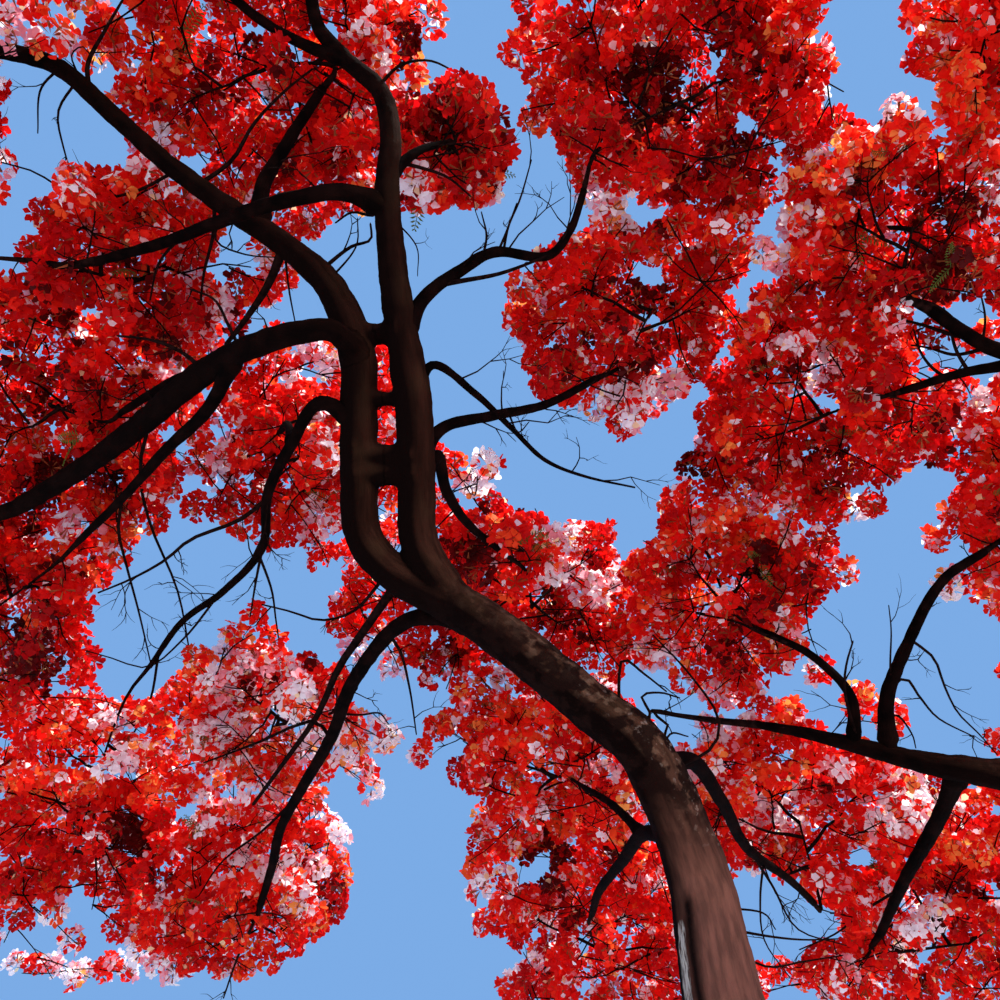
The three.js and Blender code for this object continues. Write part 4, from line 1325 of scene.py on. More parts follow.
for index, mass in enumerate(massTable.values()):
    draws = drawsFor("finer", index)
    mass["sprigs"] = growSprigs(mass, growthValues["firstSeed"] + index * growthValues["seedStep"])
    growFiner(mass, draws)
    growTips(mass, draws)
growJoins(joinValues)
growFills(fillValues)
for index, (name, mass) in enumerate(massTable.items()):
    draws = drawsFor("carried", index)
    shares = np.linspace(0, 1, clusterValues["stemPoints"])
    girths = [mass["stemRadii"][0] * part for part in clusterValues["stemTaper"]]
    girths.append(clusterValues["stemEnd"])
    twigPaths["stem"].append(pointsAt(mass["stem"], shares))
    twigGirths["stem"].append(np.interp(shares, clusterValues["stemShares"], girths))
    flowers = clusterValues["flowers" if name not in outerMasses else "flowersOut"]
    for sprig in mass["sprigs"]:
        carryOn(mass, sprig, bloomOf.get(name, "scarlet"), flowers, draws)
    print(name, len(mass["sprigs"]), "sprigs")
print(len(clusters), "clusters of flowers")

# Bare twigs in the open gaps: small ones all along the boughs, and those that the photo shows
# plainly, each by its thickness and the points it passes, from inside the limb that carries it.
bareValues = {
    "everyMetres": 0.5,
    "lengths": (0.15, 0.5),
    "forks": 2,
    "girth": 0.006,
    "taper": 0.45,
    "stout": 0.64,
    "sideEvery": 0.45,
    "sideLengths": (0.12, 0.34),
    "sideGirth": 0.005,
    "span": (0.12, 0.86),
    "bend": 0.1,
    "endShare": 0.35,
    "forkLengths": (0.35, 0.6),
    "forkGirth": 0.6,
    "forkRows": (2, 3),
    "forkSpread": 0.8,
    "points": 5,
    "namedPoints": 14,
    "forward": 0.6,
    "upward": 0.25,
    "jitter": (0.2, 0.9),
    "sideSpan": (0.3, 1.0),
    "lowest": 3,
}
twigTable = [
    (0.022, [(-2.07, -2.31, 6.68), (-1.87, -2.45, 6.73), (-1.76, -2.48, 6.78), (-1.76, -2.56, 6.81)]),
    (0.012, [(-2.01, -2.27, 6.61), (-1.83, -2.47, 6.67), (-1.82, -2.61, 6.73)]),
    (0.044, [
        (-1.54, -0.95, 5.52), (-1.82, -0.47, 5.6), (-1.99, -0.16, 5.67), (-2.09, 0.09, 5.71),
        (-2.19, 0.32, 5.75), (-2.4, 0.69, 5.82), (-2.78, 1.33, 5.92),
    ]),
    (0.02, [
        (-2.11, 0.49, 5.73), (-2.19, 0.38, 5.77), (-2.35, 0.46, 5.82), (-2.62, 0.67, 5.89),
        (-3.12, 1.03, 6.03),
    ]),
    (0.014, [(-2.01, 0.21, 5.67), (-1.9, 0.29, 5.74), (-1.79, 0.32, 5.79), (-1.74, 0.47, 5.84)]),
    (0.016, [(-1.64, -0.55, 5.52), (-1.59, -0.4, 5.56), (-1.56, -0.01, 5.66), (-1.55, 0.48, 5.76)]),
    (0.018, [
        (-1.61, -0.97, 5.55), (-1.87, -0.59, 5.67), (-2.09, -0.47, 5.75), (-2.27, -0.48, 5.82),
        (-2.46, -0.48, 5.89),
    ]),
    (0.014, [(-3.71, -3.34, 7.55), (-3.9, -3.21, 7.63), (-4.05, -2.94, 7.76)]),
    (0.014, [
        (-3.61, -3.27, 7.52), (-3.81, -3.08, 7.6), (-3.87, -2.86, 7.69), (-3.89, -2.68, 7.77),
        (-3.87, -2.54, 7.83),
    ]),
    (0.018, [
        (-3.02, -2.78, 7.3), (-3.3, -2.65, 7.38), (-3.53, -2.59, 7.44), (-3.75, -2.56, 7.5),
        (-3.92, -2.65, 7.56), (-4.05, -2.72, 7.6), (-4.29, -2.77, 7.67),
    ]),
    (0.026, [(-3.53, -3.2, 7.49), (-3.55, -3.35, 7.58), (-3.45, -3.53, 7.69), (-3.34, -3.7, 7.8)]),
    (0.012, [
        (-3.54, -3.21, 7.49), (-3.62, -3.32, 7.57), (-3.65, -3.41, 7.62), (-3.59, -3.45, 7.66),
        (-3.57, -3.4, 7.7),
    ]),
    (0.024, [
        (-2.88, -2.7, 7.24), (-2.68, -2.83, 7.37), (-2.55, -3.02, 7.48), (-2.36, -3.2, 7.61),
        (-2.19, -3.32, 7.71),
    ]),
    (0.022, [(-2.77, -2.64, 7.19), (-2.83, -2.41, 7.24), (-2.96, -2.13, 7.31), (-3.06, -1.82, 7.37)]),
    (0.014, [(-2.69, -2.6, 7.15), (-2.81, -2.37, 7.21), (-2.66, -2.27, 7.27), (-2.46, -2.23, 7.34)]),
    (0.048, [(-2.3, -2.42, 6.88), (-2.42, -2.19, 6.84), (-2.6, -1.96, 6.79), (-2.71, -1.84, 6.77)]),
    (0.014, [(-2.3, -2.42, 6.88), (-2.32, -2.13, 6.95), (-2.32, -1.88, 7.01)]),
    (0.014, [
        (-0.29, -0.51, 4.64), (-0.17, -0.6, 4.73), (-0.25, -0.64, 4.8), (-0.07, -0.52, 4.9),
        (0.15, -0.36, 5),
    ]),
    (0.014, [
        (-0.33, -0.55, 4.68), (-0.26, -0.65, 4.76), (-0.3, -0.72, 4.82), (-0.2, -0.69, 4.88),
        (-0.08, -0.6, 4.94),
    ]),
    (0.012, [(-0.27, -0.49, 4.62), (-0.2, -0.56, 4.67), (-0.16, -0.58, 4.71), (-0.06, -0.51, 4.76)]),
    (0.015, [
        (-0.4, -0.58, 4.74), (-0.41, -0.73, 4.85), (-0.39, -0.84, 4.95), (-0.25, -0.67, 5.04),
        (-0.1, -0.46, 5.14),
    ]),
    (0.015, [
        (-0.23, -0.44, 4.58), (0.07, -0.45, 4.75), (0.11, -0.54, 4.84), (-0.02, -0.68, 5.03),
        (-0.19, -0.79, 5.21),
    ]),
    (0.022, [(1.03, 0.18, 6.31), (0.85, 0.16, 6.4), (0.69, 0.12, 6.48), (0.42, 0.14, 6.61)]),
    (0.02, [
        (1.32, 0.46, 5.63), (1.24, 0.26, 5.73), (1.21, 0.12, 5.81), (1.22, -0.01, 5.88),
        (1.26, -0.14, 5.95),
    ]),
    (0.012, [(1.54, 0.16, 5.88), (1.54, 0.02, 5.96), (1.54, -0.16, 6.05), (1.52, -0.3, 6.12)]),
    (0.016, [
        (1.53, 0.18, 5.86), (1.63, 0.13, 5.91), (1.83, 0.37, 5.99), (2.04, 0.62, 6.06), (2.45, 0.94, 6.19),
    ]),
    (0.016, [
        (1.71, -0.04, 6.1), (1.96, 0.19, 6.18), (2.15, 0.51, 6.26), (2.36, 0.83, 6.33), (2.64, 1.13, 6.41),
        (2.91, 1.44, 6.49),
    ]),
    (0.014, [(1.48, 0.32, 5.69), (1.56, 0.31, 5.76), (1.76, 0.56, 5.84), (1.85, 0.74, 5.89)]),
    (0.018, [(-2.59, -0.53, 6.47), (-2.7, -0.2, 6.55), (-2.82, 0.19, 6.64)]),
    (0.016, [(-2.64, -0.45, 6.51), (-2.62, -0.08, 6.6), (-2.65, 0.25, 6.68), (-2.68, 0.63, 6.76)]),
    (0.024, [
        (-2.46, -1, 6.28), (-2.67, -0.81, 6.35), (-3.07, -0.58, 6.47), (-3.3, -0.37, 6.54),
        (-3.6, -0.16, 6.62), (-3.91, 0.02, 6.7),
    ]),
    (0.02, [
        (-3.13, -1.5, 6.44), (-3.33, -1.07, 6.55), (-3.4, -0.61, 6.66), (-3.38, 0.07, 6.8),
        (-3.46, 0.8, 6.94),
    ]),
    (0.018, [
        (-3.46, -0.89, 6.49), (-3.58, -0.6, 6.57), (-3.63, -0.25, 6.65), (-3.68, 0.21, 6.75),
        (-3.76, 0.87, 6.88),
    ]),
    (0.016, [
        (-3.06, 0.07, 6.74), (-3.46, 0.59, 6.86), (-3.86, 0.95, 6.96), (-4.15, 0.92, 7.04),
        (-4.41, 0.89, 7.11),
    ]),
    (0.014, [(-1.1, -2.39, 6.75), (-1.08, -2.49, 6.82), (-1.11, -2.61, 6.9)]),
    (0.014, [(-1.01, -2.4, 6.82), (-0.96, -2.5, 6.9), (-0.9, -2.64, 7)]),
    (0.026, [(-1.35, -2.29, 6.5), (-1.22, -2.3, 6.55), (-1, -2.32, 6.63), (-0.72, -2.39, 6.75)]),
    (0.012, [(-0.95, -1.53, 6.42), (-0.88, -1.36, 6.5), (-0.82, -1.41, 6.54)]),
    (0.016, [(0.58, 0.99, 5.29), (0.86, 1.54, 5.41), (1.2, 2.22, 5.53), (1.66, 2.59, 5.65)]),
    (0.014, [(0.76, 1.28, 5.4), (0.85, 1.84, 5.51), (1, 2.46, 5.61), (1.34, 3.13, 5.72)]),
    (0.018, [(1.9, 1.86, 5.62), (1.74, 2.24, 5.7), (1.63, 2.64, 5.78), (1.43, 2.97, 5.86)]),
    (0.026, [(1.95, 2.51, 5.73), (1.96, 2.83, 5.78), (1.95, 3.12, 5.83), (1.95, 3.61, 5.9)]),
    (0.024, [(-2.9, 2.52, 5.99), (-3.08, 3.01, 6.06), (-3.29, 3.53, 6.13), (-3.55, 4.27, 6.22)]),
    (0.018, [(-2.43, 1.15, 5.82), (-2.76, 1.63, 5.93), (-3.18, 2.15, 6.06), (-3.52, 2.77, 6.17)]),
    (0.018, [(-3.7, 0.78, 6.92), (-3.93, 1.38, 7.04), (-4.3, 2.03, 7.17), (-4.58, 2.74, 7.29)]),
    (0.02, [(-2.55, -2.62, 6.68), (-2.82, -2.52, 6.78), (-3.07, -2.32, 6.88), (-3.21, -2.06, 6.97)]),
    (0.022, [(-2.7, -1.85, 6.29), (-2.85, -1.94, 6.37), (-3.04, -1.98, 6.45), (-3.26, -1.98, 6.52)]),
    (0.018, [(-2.44, -2.01, 6.18), (-2.51, -2.14, 6.25), (-2.58, -2.26, 6.31), (-2.73, -2.3, 6.38)]),
    (0.044, [(0.76, 0.59, 5.96), (0.49, 0.6, 6.01), (0.28, 0.6, 6.05), (0.06, 0.59, 6.09)]),
    (0.046, [(-3.5, -2.3, 6.99), (-3.71, -2.26, 7.02), (-3.93, -2.28, 7.06), (-4.15, -2.29, 7.09)]),
    (0.02, [(-1.64, -2.9, 6.89), (-1.47, -2.85, 6.97), (-1.31, -2.78, 7.05), (-1.18, -2.66, 7.12)]),
    (0.018, [(-1.73, -3.25, 7.32), (-1.6, -3.36, 7.42), (-1.43, -3.38, 7.51), (-1.27, -3.31, 7.59)]),
    (0.018, [(-1.64, -2.74, 6.72), (-1.73, -2.62, 6.78), (-1.87, -2.62, 6.85), (-1.98, -2.55, 6.9)]),
    (0.012, [(-1.63, -2.64, 6.64), (-1.56, -2.43, 6.74), (-1.59, -2.14, 6.87)]),
    (0.009, [(-1.63, -2.65, 6.65), (-1.49, -2.45, 6.74), (-1.5, -2.25, 6.83)]),
    (0.014, [(-0.98, -2.39, 6.84), (-0.95, -2.52, 6.93), (-0.88, -2.66, 7.02), (-0.81, -2.86, 7.17)]),
    (0.012, [(-0.04, 0, 4.08), (0.34, 0.27, 4.2), (0.55, 0.43, 4.29), (0.77, 0.56, 4.38)]),
    (0.012, [(-0.04, 0.01, 4.04), (0.33, 0.45, 4.16), (0.54, 0.57, 4.26), (0.83, 0.72, 4.39)]),
    (0.01, [(-0.04, -0.03, 4.15), (0.25, 0.09, 4.21), (0.39, 0.36, 4.3)]),
    (0.034, [(2.08, -1.79, 7.1), (1.89, -1.94, 7.19), (1.73, -1.98, 7.26), (1.58, -1.98, 7.32)]),
    (0.028, [(2.14, -1.76, 7.07), (2, -1.77, 7.16), (1.86, -1.8, 7.24), (1.73, -1.82, 7.31)]),
    (0.024, [(2.22, -1.72, 7.04), (2.08, -1.62, 7.17), (1.95, -1.63, 7.27), (1.85, -1.63, 7.33)]),
    (0.02, [(2.01, -1.49, 7.09), (1.92, -1.55, 7.14), (1.85, -1.64, 7.2), (1.81, -1.76, 7.27)]),
    (0.022, [(2.13, -1.55, 7.04), (2.05, -1.67, 7.11), (2.01, -1.79, 7.18), (1.96, -1.92, 7.24)]),
    (0.016, [(2.18, -1.74, 7.06), (2.19, -1.89, 7.13), (2.15, -2.05, 7.21)]),
]


def addBare(start, away, length, girth, forks, draws):
    values = bareValues
    path = bentPath(start, start + away * length, values["points"], values["bend"], draws)
    if path[:, 2].min() < values["lowest"]:
        return
    twigPaths["bare"].append(path)
    twigGirths["bare"].append(np.linspace(girth, girth * values["endShare"], values["points"]))
    if forks:
        for row in values["forkRows"]:
            side = unit(away + sideways(away, draws) * values["forkSpread"])
            sideLength = length * draws.uniform(*values["forkLengths"])
            addBare(path[row], side, sideLength, girth * values["forkGirth"], forks - 1, draws)


# Side twigs at shares of a curve, leaning forward.
def addSides(curve, shares, lengths, girth, forks, draws):
    for share in shares:
        heading = headingsAt(curve, [share])[0]
        forward = heading * bareValues["forward"]
        away = unit(sideways(heading, draws) + forward + (0, 0, bareValues["upward"]))
        addBare(pointsAt(curve, share), away, draws.uniform(*lengths), girth, forks, draws)


def growBare(values):
    draws = drawsFor("bare")
    for name in thinGroup + ["bough_left"]:
        curve = limbTable[name]["curve"]
        count = round(curve["length"] / values["everyMetres"])
        shares = (np.arange(count) + draws.uniform(*values["jitter"], count)) / max(1, count)
        shares = shares * values["span"][1] + values["span"][0]
        addSides(curve, shares, values["lengths"], values["girth"], values["forks"], draws)
    shares = np.linspace(0, 1, values["namedPoints"])
    for girth, through in twigTable:
        curve = curveThrough(through)
        radii = girth * values["stout"] * (1 - (1 - values["taper"]) * shares)
        twigPaths["named"].append(pointsAt(curve, shares))
        twigGirths["named"].append(radii)
        count = round(curve["length"] / values["sideEvery"])
        places = draws.uniform(*values["sideSpan"], count)
        addSides(curve, places, values["sideLengths"], min(values["sideGirth"], radii[-1]), 1, draws)


growBare(bareValues)
twigSides = {
    "twigs_blossom": {"stem": 8, "main": 5, "fine": 4, "finger": 3},
    "twigs_bare": {"bare": 4, "named": 7},
}
twigPieces = []
for name, kinds in twigSides.items():
    parts = [twigMesh(twigPaths[kind], twigGirths[kind], sides) for kind, sides in kinds.items()]
    twigPieces.append(meshPiece(name, parts, smooth=True))

# Flowers: four scarlet petals and a paler standard, each a spoon of a few faces, on a stalk that
# opens into its calyx.
flowerValues = {
    "petals": 5,
    "claw": 0.011,
    "shoulder": 0.046,
    "tip": 0.074,
    "halfWidth": 0.030,
    "halfTip": 0.0135,
    "jitter": 0.0035,
    "calyx": 0.011,
    "creamShare": 0.3,
    "standard": 0.66,
    "stretched": 1.08,
    "stalkShare": 0.5,
    "bearingSpan": 6.3,
    "atOnce": 2000,
    "halfway": -0.9,
    "forms": (
        {"shoulderRise": 0.016, "tipRise": 0.010, "draw": 1.0},
        {"shoulderRise": 0.026, "tipRise": 0.036, "draw": 0.92},
        {"shoulderRise": 0.006, "tipRise": -0.016, "draw": 1.0},
        {"shoulderRise": 0.036, "tipRise": 0.060, "draw": 0.72},
    ),
}


# One petal's corners, grown from its claw and opened to its shoulders and blunt tip.
def petalCorners(form, turn, stretch=1.0):
    values = flowerValues
    bm = bmesh.new()
    draw = form["draw"] * stretch
    outline = (
        (values["claw"], 0, 0),
        (values["shoulder"] * draw, -values["halfWidth"], form["shoulderRise"]),
        (values["tip"] * draw, -values["halfTip"], form["tipRise"]),
        (values["tip"] * draw, values["halfTip"], form["tipRise"]),
        (values["shoulder"] * draw, values["halfWidth"], form["shoulderRise"]),
    )
    verts = [bm.verts.new(corner) for corner in outline]
    bmesh.ops.rotate(bm, verts=verts, cent=(0, 0, 0), matrix=Matrix.Rotation(turn, 3, "Z"))
    corners = [tuple(vert.co) for vert in verts]
    bm.free()
    return corners


petalFaces = [(0, 1, 2), (0, 2, 3), (0, 3, 4)]
paleShares = {"heart": 0.12, "body": 0.28, "bright": 0.42, "warm": 0.5, "pale": 0.7, "dusk": 0.06}


# Every flower: where its throat is, the way it faces, its size, tint and form.
def placeFlowers():
    values = clusterValues
    draws = drawsFor("flowers")
    centres, normals, kinds, shown = (np.array(field) for field in zip(*clusters))
    count = values["flowers"]
    tints = np.empty((len(clusters), count), object)
    for kind, shares in kindValues.items():
        which = kinds == kind
        chances = np.array(list(shares.values())) / sum(shares.values())
        tints[which] = draws.choice(list(shares), (which.sum(), count), p=chances)
    heights = 1 - values["domeSpan"] * (np.arange(count) + 0.5) / count
    firstBearings = draws.uniform(0, flowerValues["bearingSpan"], (len(centres), 1))
    bearings = np.arange(count) * goldenTurn + firstBearings
    rings = np.sqrt(1 - heights**2)
    sideA, sideB = acrossEach(normals, leastAxis(normals))
    ways = (
        normals[:, None] * heights[:, None]
        + sideA[:, None] * (rings * np.cos(bearings))[..., None]
        + sideB[:, None] * (rings * np.sin(bearings))[..., None]
    )
    ways = unit(ways + draws.normal(size=ways.shape) * values["flowerScatter"])
    reach = values["radius"] * draws.uniform(*values["flowerReach"], ways.shape[:2])[..., None]
    throats = centres[:, None] + ways * reach
    tumble = draws.normal(size=ways.shape) * values["flowerTumble"]
    facing = unit(ways + tumble + (0, 0, values["faceUp"]))
    paleOnes = np.repeat([paleShares[kind] for kind in kinds], count)
    flowers = {
        "throat": throats.reshape(-1, 3),
        "facing": facing.reshape(-1, 3),
        "stalk": (centres[:, None] + ways * reach * values["stalkFoot"]).reshape(-1, 3),
        "tint": tints.ravel(),
        "size": draws.uniform(*values["flowerSpan"], tints.size),
        "form": draws.integers(0, len(flowerValues["forms"]), tints.size),
        "roll": draws.uniform(0, 2 * math.pi, tints.size),
        "pale": draws.random(tints.size) < paleOnes,
    }
    order = draws.permuted(np.tile(np.arange(count), (len(centres), 1)), axis=1)
    keep = (order < shown[:, None]).ravel()
    for start in range(0, len(keep), flowerValues["atOnce"]):
        part = slice(start, start + flowerValues["atOnce"])
        apart = np.linalg.norm(flowers["throat"][part, None] - limbField["at"], axis=2)
        keep[part] &= (apart - limbField["radius"]).min(axis=1) > values["limbRoom"]
    return {key: field[keep] for key, field in flowers.items()}


flowers = placeFlowers()
print(len(flowers["throat"]), "flowers")


# The axes of each flower, from the way it faces and its roll.
def flowerAxes(facing, roll):
    flatA, flatB = acrossEach(facing, leastAxis(facing))
    axisX = flatA * np.cos(roll)[:, None] + flatB * np.sin(roll)[:, None]
    return np.stack([axisX, np.cross(facing, axisX), facing], axis=1)


flowers["axes"] = flowerAxes(flowers["facing"], flowers["roll"])


# Petals of the chosen flowers, in all their forms, as joined points and faces.
def petalParts(chosen, turns, stretch, draws):
    parts = []
    for index, form in enumerate(flowerValues["forms"]):
        which = np.flatnonzero(chosen & (flowers["form"] == index))
        for turn in turns:
            corners = np.array(petalCorners(form, turn, stretch))
            shape = corners[None] * flowers["size"][which, None, None]
            shape = shape + draws.normal(size=shape.shape) * flowerValues["jitter"]
            placed = flowers["throat"][which, None] + shape @ flowers["axes"][which]
            parts.append(repeated(placed, petalFaces))
    return parts


petalTurns = [2 * math.pi * k / flowerValues["petals"] for k in range(1, flowerValues["petals"])]
petalDraws = drawsFor("petals")
petalPieces = {}
for tint in tintValues:
    chosen = flowers["tint"] == tint
    parts = petalParts(chosen, petalTurns, 1.0, petalDraws)
    parts += petalParts(chosen & ~flowers["pale"], [0], flowerValues["stretched"], petalDraws)
    petalPieces[tint] = meshPiece("petals_" + tint, parts, smooth=True)
creamy = drawsFor("creamy").random(len(flowers["throat"])) < flowerValues["creamShare"]
standards = {}
for name, chosen in (("white", flowers["pale"] & ~creamy), ("cream", flowers["pale"] & creamy)):
    parts = petalParts(chosen, [0], flowerValues["standard"], petalDraws)
    standards[name] = meshPiece("petals_" + name, parts, smooth=True)


def calyxPart(chosen):
    turns = np.arange(3) * 2 * math.pi / 3
    ring = np.stack([np.cos(turns), np.sin(turns), np.zeros(3)], axis=1) * flowerValues["calyx"]
    mouths = flowers["throat"][chosen, None] + ring[None] @ flowers["axes"][chosen]
    points = np.concatenate([flowers["stalk"][chosen, None], mouths], axis=1)
    return repeated(points, [(0, 2, 1), (0, 3, 2), (0, 1, 3), (1, 2, 3)])


stalked = drawsFor("stalked").random(len(flowers["throat"])) < flowerValues["stalkShare"]
leftSide = flowers["throat"][:, 0] < flowerValues["halfway"]
calyces = [
    meshPiece("stalks_left", [calyxPart(stalked & leftSide)]),
    meshPiece("stalks_right", [calyxPart(stalked & ~leftSide)]),
]

# Leaves: feathery, of paired leaflets along a midrib. There are few while the tree is in flower.
leafValues = {
    "length": 0.3,
    "pairs": 9,
    "leaflet": 0.07,
    "halfWidth": 0.009,
    "cup": (0.006, -0.008),
    "swell": (0.25, 0.65),
    "shoulder": (0.3, 0.5),
    "tip": 0.45,
    "midrib": 0.0025,
    "midribShares": (0, 0.33, 0.66, 1),
    "droop": 1.4,
    "perSeat": 2,
    "flatness": (1, 1, 0.5),
    "outward": 0.4,
    "tilt": 0.4,
}


def leafCorners(values):
    corners = []
    for pair in range(values["pairs"]):
        share = (pair + 1) / values["pairs"]
        x = values["length"] * share
        first, more = values["swell"]
        leaflet = values["leaflet"] * math.sin(math.pi * (first + more * share))
        width = values["halfWidth"]
        along, out = values["shoulder"]
        high, low = values["cup"]
        for side in (-1, 1):
            corners += [
                (x, 0, 0),
                (x + leaflet * along + width, side * leaflet * out, high),
                (x + leaflet * values["tip"], side * leaflet, low),
                (x + leaflet * along - width, side * leaflet * out, high),
            ]
    return np.array(corners)


# Copies of a leaf's points at their sizes, hanging over toward the tip.
def drooped(points, sizes):
    shape = points[None] * sizes[:, None, None]
    shape[..., 2] -= leafValues["droop"] * shape[..., 0] ** 2
    return shape


def makeLeaves(values):
    draws = drawsFor("leaves")
    seats = [seat for seat in leafSeats for _ in range(values["perSeat"])]
    starts = np.array([seat[0] for seat in seats])
    sizes = np.array([seat[2] for seat in seats])
    outward = np.array([seat[1] for seat in seats]) * values["outward"]
    ways = unit(draws.normal(size=starts.shape) * values["flatness"] + outward)
    tilts = np.cross(ways, draws.normal(size=ways.shape)) * values["tilt"]
    ups = unit(tilts + np.array([0, 0, 1.0]))
    acrosses = unit(np.cross(ups, ways))
    ups = np.cross(ways, acrosses)
    axes = np.stack([ways, acrosses, ups], axis=1)
    shape = drooped(leafCorners(values), sizes)
    faces = []
    for blade in range(values["pairs"] * 2):
        a = blade * 4
        faces += [(a, a + 1, a + 2), (a, a + 2, a + 3)]
    blades = repeated(starts[:, None] + shape @ axes, faces)
    midrib = np.array([[values["length"] * share, 0, 0] for share in values["midribShares"]])
    ribLine = drooped(midrib, sizes)
    girths = np.full((len(seats), len(midrib)), values["midrib"])
    ribs = twigMesh(starts[:, None] + ribLine @ axes, girths, 3)
    return meshPiece("leaves", [blades, ribs])


leaves = makeLeaves(leafValues)


# Materials. Shared effects are node groups, built once and placed with each finish's own values.
def newGroup(name, inputs, outputs):
    group = bpy.data.node_groups.new(name, "ShaderNodeTree")
    for socket, kind, value in inputs:
        made = group.interface.new_socket(socket, in_out="INPUT", socket_type=kind)
        made.default_value = value
    for socket, kind in outputs:
        group.interface.new_socket(socket, in_out="OUTPUT", socket_type=kind)
    return group, group.nodes.new("NodeGroupInput"), group.nodes.new("NodeGroupOutput")


def addNode(tree, kind, links=None, **settings):
    node = tree.nodes.new(kind)
    for key, value in settings.items():
        setattr(node, key, value)
    for socket, source in (links or {}).items():
        if isinstance(source, bpy.types.NodeSocket):
            tree.links.new(source, node.inputs[socket])
        else:
            node.inputs[socket].default_value = source
    return node


# A soft mottle between two colours, with its mask.
def makeMottle():
    group, given, result = newGroup(
        "softMottle",
        [
            ("Place", "NodeSocketVector", (0, 0, 0)),
            ("Low", "NodeSocketColor", (0, 0, 0, 1)),
            ("High", "NodeSocketColor", (1, 1, 1, 1)),
            ("Scale", "NodeSocketFloat", 20.0),
            ("Detail", "NodeSocketFloat", 3.0),
            ("From", "NodeSocketFloat", 0.35),
            ("To", "NodeSocketFloat", 0.65),
        ],
        [("Color", "NodeSocketColor"), ("Mask", "NodeSocketFloat")],
    )
    cloud = addNode(group, "ShaderNodeTexNoise", {
        "Vector": given.outputs["Place"],
        "Scale": given.outputs["Scale"],
        "Detail": given.outputs["Detail"],
    })
    mask = addNode(group, "ShaderNodeMapRange", {
        "Value": cloud.outputs["Fac"], "From Min": given.outputs["From"], "From Max": given.outputs["To"],
    })
    blend = addNode(group, "ShaderNodeMix", {
        0: mask.outputs["Result"], 6: given.outputs["Low"], 7: given.outputs["High"],
    }, data_type="RGBA")
    group.links.new(blend.outputs[2], result.inputs["Color"])
    group.links.new(mask.outputs["Result"], result.inputs["Mask"])
    return group


mottle = makeMottle()


def placeMottle(tree, low, high, scale, detail=3.0, start=0.35, end=0.65, place=None):
    if place is None:
        place = addNode(tree, "ShaderNodeTexCoord").outputs["Object"]
    return addNode(tree, "ShaderNodeGroup", {
        "Place": place, "Scale": scale, "Detail": detail, "From": start, "To": end,
        "Low": (*low, 1), "High": (*high, 1),
    }, node_tree=mottle)


def newMaterial(name):
    material = bpy.data.materials.new(name)
    material.use_nodes = True
    tree = material.node_tree
    tree.nodes.clear()
    return material, tree, addNode(tree, "ShaderNodeOutputMaterial")


# The mask of a mottle alone, for laying one colour over another.
def maskOf(tree, *values):
    return placeMottle(tree, (0, 0, 0), (1, 1, 1), *values).outputs["Mask"]


def matteFace(tree, colour, roughness, gloss):
    return addNode(tree, "ShaderNodeBsdfPrincipled", {
        "Base Color": colour, "Roughness": roughness, "Specular IOR Level": gloss,
    })


# A thin petal or leaflet: a soft face that also lets light through.
thinValues = {"mottleScale": 55.0, "depth": 0.8, "gloss": 0.12, "petal": (0.56, 0.55)}


def thinMaterial(name, colour, glow, through, roughness):
    material, tree, output = newMaterial(name)
    low = tuple(part * thinValues["depth"] for part in colour)
    skin = placeMottle(tree, low, colour, thinValues["mottleScale"])
    face = matteFace(tree, skin.outputs["Color"], roughness, thinValues["gloss"])
    behind = addNode(tree, "ShaderNodeBsdfTranslucent", {"Color": (*glow, 1)})
    both = addNode(tree, "ShaderNodeMixShader", {0: through, 1: face.outputs[0], 2: behind.outputs[0]})
    tree.links.new(both.outputs[0], output.inputs["Surface"])
    return material


# Bark: near-black on its shaded side and on thin limbs, both painted shade; brown with painted light
# on the side that is toward the light, darker higher up for painted shade under the crown and lighter
# at the foot, partly smoother bark and partly painted light. Streaks run along the limb; grey lichen
# on the lit side is partly a painted highlight; the trunk has a pale scar and, beside it, a dark run
# painted for the shade in the gap there.
barkFinish = {
    "shade": (0.0036, 0.0012, 0.0010),
    # Painted shade: the lit side's colour higher up, darker under the crown.
    "upperHigh": (0.060, 0.018, 0.0110),
    "low": (0.034, 0.011, 0.0065),
    "high": (0.125, 0.049, 0.029),
    # The foot's colours: partly smoother bark, partly painted light.
    "footLow": (0.125, 0.050, 0.036),
    "footHigh": (0.235, 0.088, 0.062),
    "burl": (0.010, 0.0035, 0.0028),
    # Tan patches on the lit side of the bend: a painted highlight.
    "patch": (0.20, 0.105, 0.066),
    # Thin limbs near-black: painted shade.
    "limbLow": (0.0014, 0.0005, 0.0005),
    "limbHigh": (0.0080, 0.0024, 0.0020),
    "olive": (0.080, 0.040, 0.019),
    # Grey lichen laid only on the side painted lit: partly lichen, partly a painted highlight.
    "lichen_and_highlight": (0.32, 0.22, 0.18),
    "scar": (0.46, 0.42, 0.38),
    # The dark run: painted shade of the gap beside the scar.
    "run": (0.004, 0.002, 0.002),
}
# Heights between which parts of the finish come in or fade out.
barkBands = {
    "foot": (4.75, 4.0),
    "upper": (4.95, 5.75),
    "moss": (4.3, 4.7),
    "lowest": (3.7, 3.0),
    "wide": (4.5, 4.15),
    "bendFoot": (4.28, 4.44),
    "bendTop": (5.45, 4.95),
    "lichenFoot": (4.25, 4.4),
    "lichenTop": (4.95, 4.7),
}
